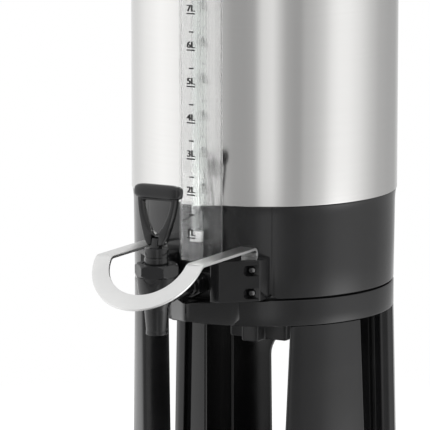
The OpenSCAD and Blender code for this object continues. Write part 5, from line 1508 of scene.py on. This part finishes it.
# Strength of the cards by direction, in degrees to the right of the camera.
# The glossy mouldings reflect their low part and the steel shell reflects their high part.
LOW_CARDS = (
    (-179, 0.45), (-160, 0.6), (-148, 0.9), (-138, 1.1), (-124, 1.4), (-98, 1.55), (-88, 1.35),
    (-50, 0.9), (-38, 0.5), (-24, 0.35), (-8, 0.4), (0, 0.6), (20, 0.5), (30, 0.62),
    (40, 0.8), (49, 1.1), (57, 1.9), (66, 2.6), (76, 2.6), (86, 1.9), (98, 1.1), (112, 0.75),
    (130, 0.65), (147, 0.8), (165, 0.9),
)
HIGH_CARDS = (
    (-175, 0.9), (-150, 0.85), (-138, 0.92), (-121, 1.15), (-98, 1.36), (-85, 1.3),
    (-64, 1.1), (-50, 0.85), (-38, 0.65), (-27, 0.46), (-17, 0.45), (-9, 0.5), (-3, 0.95),
    (6, 1.05), (11, 0.8), (17, 0.53), (24, 0.46), (29, 0.46), (32, 0.58), (40, 0.67), (49, 0.84),
    (57, 1.12), (64, 1.24), (74, 1.22), (86, 1.05), (98, 0.81), (112, 0.6), (130, 0.52),
    (148, 0.5), (163, 0.7),
)
# Heights between which the low cards give way to the high ones
CARD_BLEND = (-0.3, -0.08)


def card_ramp(tree, share, cards):
    """Colour ramp of one set of cards, as a share of its strongest."""
    ramp = node(tree, "ValToRGB", {"Fac": share})
    top = max(v for _, v in cards)
    stops = ramp.color_ramp.elements
    for i, (angle, value) in enumerate(cards):
        stop = stops[i] if i < 2 else stops.new(1)
        stop.position = (angle + 180) / 360
        stop.color = (value / top, value / top, value / top, 1)
    return ramp, top


def card_shader(level):
    """Light of the cards, laid out by direction round the vessel's axis."""
    material = bpy.data.materials.new("studio_cards")
    material.use_nodes = True
    tree = material.node_tree
    tree.nodes.remove(tree.nodes["Principled BSDF"])
    place = node(tree, "TexCoord")
    axes = node(tree, "SeparateXYZ", {"Vector": place.outputs["Object"]})
    front = node(tree, "Math", {0: axes.outputs["Y"], 1: -1.0}, operation="MULTIPLY")
    around = node(tree, "Math", {0: axes.outputs["X"], 1: front.outputs[0]},
                  operation="ARCTAN2")
    share = node(tree, "MapRange", {
        "Value": around.outputs[0], "From Min": -math.pi, "From Max": math.pi})
    lights = []
    for cards in (LOW_CARDS, HIGH_CARDS):
        ramp, top = card_ramp(tree, share.outputs["Result"], cards)
        lights.append(node(tree, "Emission", {
            "Color": ramp.outputs["Color"], "Strength": top * level}).outputs[0])
    rise = node(tree, "MapRange", {
        "Value": axes.outputs["Z"], "From Min": CARD_BLEND[0], "From Max": CARD_BLEND[1]})
    mix = node(tree, "MixShader", {
        0: rise.outputs["Result"], 1: lights[0], 2: lights[1]})
    tree.links.new(mix.outputs[0], tree.nodes["Material Output"].inputs["Surface"])
    return material


def seen_rays(tree):
    """1 for camera, glossy and transmission rays."""
    light = node(tree, "LightPath")
    seen = node(tree, "Math", {
        0: light.outputs["Is Camera Ray"], 1: light.outputs["Is Glossy Ray"]},
        operation="MAXIMUM")
    return node(tree, "Math", {
        0: seen.outputs[0], 1: light.outputs["Is Transmission Ray"]}, operation="MAXIMUM")


class DISPENSER_OT_stage(Operator):
    """Adds the floor, lamps, cards, white background and the photograph's camera"""

    bl_idname = "dispenser.stage"
    bl_label = "Studio"

    def execute(self, context):
        scene = context.scene
        studio = scene.dispenser_studio
        scene.view_settings.view_transform = "Standard"
        self.add_world(scene)
        self.add_floor()
        self.add_cards(studio.card_level)
        self.add_lamps(studio.lamp_level)
        camera = bpy.data.cameras.new("studio_camera")
        camera.lens = studio.lens
        camera.sensor_width = 36
        camera.clip_end = 60
        holder = bpy.data.objects.new("studio_camera", camera)
        holder.location = CAMERA_PLACE
        holder.rotation_euler = Vector(CAMERA_AIM).to_track_quat("-Z", "Y").to_euler()
        scene.collection.objects.link(holder)
        scene.camera = holder
        return {"FINISHED"}

    def add_world(self, scene):
        """A dim world that looks white."""
        world = bpy.data.worlds.new("studio_world")
        scene.world = world
        world.use_nodes = True
        tree = world.node_tree
        dim = tree.nodes["Background"]
        dim.inputs["Color"].default_value = (1, 1, 1, 1)
        dim.inputs["Strength"].default_value = WORLD_LEVEL
        white = node(tree, "Background", {"Color": (1, 1, 1, 1), "Strength": 1.0})
        mix = node(tree, "MixShader", {
            0: seen_rays(tree).outputs[0], 1: dim.outputs[0], 2: white.outputs[0]})
        tree.links.new(mix.outputs[0], tree.nodes["World Output"].inputs["Surface"])

    def add_floor(self):
        """A pale floor that keeps the shadow and turns plain white away from the object."""
        material, tree, shader = new_finish("studio_floor", Roughness=0.7,
                                            Specular_IOR_Level=0.2)
        tinted(tree, shader, grain(tree, 3.0, 4.0).outputs["Fac"], (0.78, 0.78, 0.78), 0.01)
        lift = node(tree, "Emission", {"Strength": FLOOR_LIFT})
        lit = node(tree, "AddShader", {0: shader.outputs[0], 1: lift.outputs[0]})
        place = node(tree, "TexCoord")
        far = node(tree, "VectorMath", {0: place.outputs["Object"]},
                   operation="LENGTH")
        blend = node(tree, "MapRange", {
            "Value": far.outputs["Value"], "From Min": FLOOR_FADE[0], "From Max": FLOOR_FADE[1]})
        white = node(tree, "Emission", {"Strength": 1.0})
        near = node(tree, "MixShader", {
            0: blend.outputs["Result"], 1: lit.outputs[0], 2: white.outputs[0]})
        mix = node(tree, "MixShader", {
            0: seen_rays(tree).outputs[0], 1: shader.outputs[0], 2: near.outputs[0]})
        tree.links.new(mix.outputs[0], tree.nodes["Material Output"].inputs["Surface"])
        form = Form()
        half, back = FLOOR_HALF / MM, FLOOR_BACK / MM
        form.add([(-half, -half, 0), (half, -half, 0), (half, back, 0), (-half, back, 0)],
                 [[0, 1, 2, 3]])
        floor = form.build("studio_floor", material)
        floor.visible_glossy = False

    def add_cards(self, level):
        """A wall of cards round the object that only metal and gloss can see."""
        form = Form()
        form.loft([[(CARD_RADIUS / MM * math.sin(a), -CARD_RADIUS / MM * math.cos(a), z / MM)
                    for a in bearings(MID_STEPS)] for z in (CARD_FOOT, CARD_TOP)], caps=False)
        cards = form.build("studio_cards", card_shader(level))
        cards.rotation_euler = (0, 0, math.radians(CAMERA_SIDE))
        for ray in ("camera", "diffuse", "transmission", "volume_scatter", "shadow"):
            setattr(cards, f"visible_{ray}", False)

    def add_lamps(self, level):
        """Soft lamps that don't show in gloss."""
        for name, angle, distance, height, size, power in LAMPS:
            lamp = bpy.data.lights.new(f"studio_{name}", "AREA")
            lamp.shape = "RECTANGLE"
            lamp.size, lamp.size_y = size
            lamp.energy = power * level
            holder = bpy.data.objects.new(f"studio_{name}", lamp)
            a = math.radians(angle + CAMERA_SIDE)
            place = Vector((distance * math.sin(a), -distance * math.cos(a), height))
            holder.location = place
            holder.rotation_euler = (LAMP_AIM - place).to_track_quat("-Z", "Y").to_euler()
            holder.visible_glossy = False
            bpy.context.scene.collection.objects.link(holder)


OPERATORS = (
    DISPENSER_OT_finishes, DISPENSER_OT_shell, DISPENSER_OT_collar, DISPENSER_OT_rim,
    DISPENSER_OT_carry_handles, DISPENSER_OT_ring, DISPENSER_OT_front_legs,
    DISPENSER_OT_rear_legs, DISPENSER_OT_foot, DISPENSER_OT_tray, DISPENSER_OT_clamp,
    DISPENSER_OT_tap, DISPENSER_OT_lever, DISPENSER_OT_housing, DISPENSER_OT_guard,
    DISPENSER_OT_screws, DISPENSER_OT_gauge, DISPENSER_OT_shield, DISPENSER_OT_lid,
    DISPENSER_OT_inner, DISPENSER_OT_stage,
)


class DISPENSER_PT_pieces(Panel):
    """Lists the steps that build the dispenser"""

    bl_label = "Beverage dispenser"
    bl_idname = "DISPENSER_PT_pieces"
    bl_space_type = "VIEW_3D"
    bl_region_type = "UI"
    bl_category = "Dispenser"

    def draw(self, context):
        for group in (context.scene.dispenser_sizes, context.scene.dispenser_colours,
                      context.scene.dispenser_studio):
            box = self.layout.box()
            for name in group.bl_rna.properties.keys():
                if name not in ("rna_type", "name"):
                    box.prop(group, name)
        for operator in OPERATORS:
            self.layout.operator(operator.bl_idname)


CLASSES = (DispenserSizes, DispenserColours, StudioSettings, *OPERATORS, DISPENSER_PT_pieces)


def register():
    for cls in CLASSES:
        bpy.utils.register_class(cls)
    bpy.types.Scene.dispenser_sizes = PointerProperty(type=DispenserSizes)
    bpy.types.Scene.dispenser_colours = PointerProperty(type=DispenserColours)
    bpy.types.Scene.dispenser_studio = PointerProperty(type=StudioSettings)


def unregister():
    del bpy.types.Scene.dispenser_studio
    del bpy.types.Scene.dispenser_colours
    del bpy.types.Scene.dispenser_sizes
    for cls in reversed(CLASSES):
        bpy.utils.unregister_class(cls)


def main():
    register()
    for operator in OPERATORS:
        module, name = operator.bl_idname.split(".")
        result = getattr(getattr(bpy.ops, module), name)()
        if result != {"FINISHED"}:
            raise RuntimeError(f"{operator.bl_idname} did not finish")


if __name__ == "__main__":
    main()
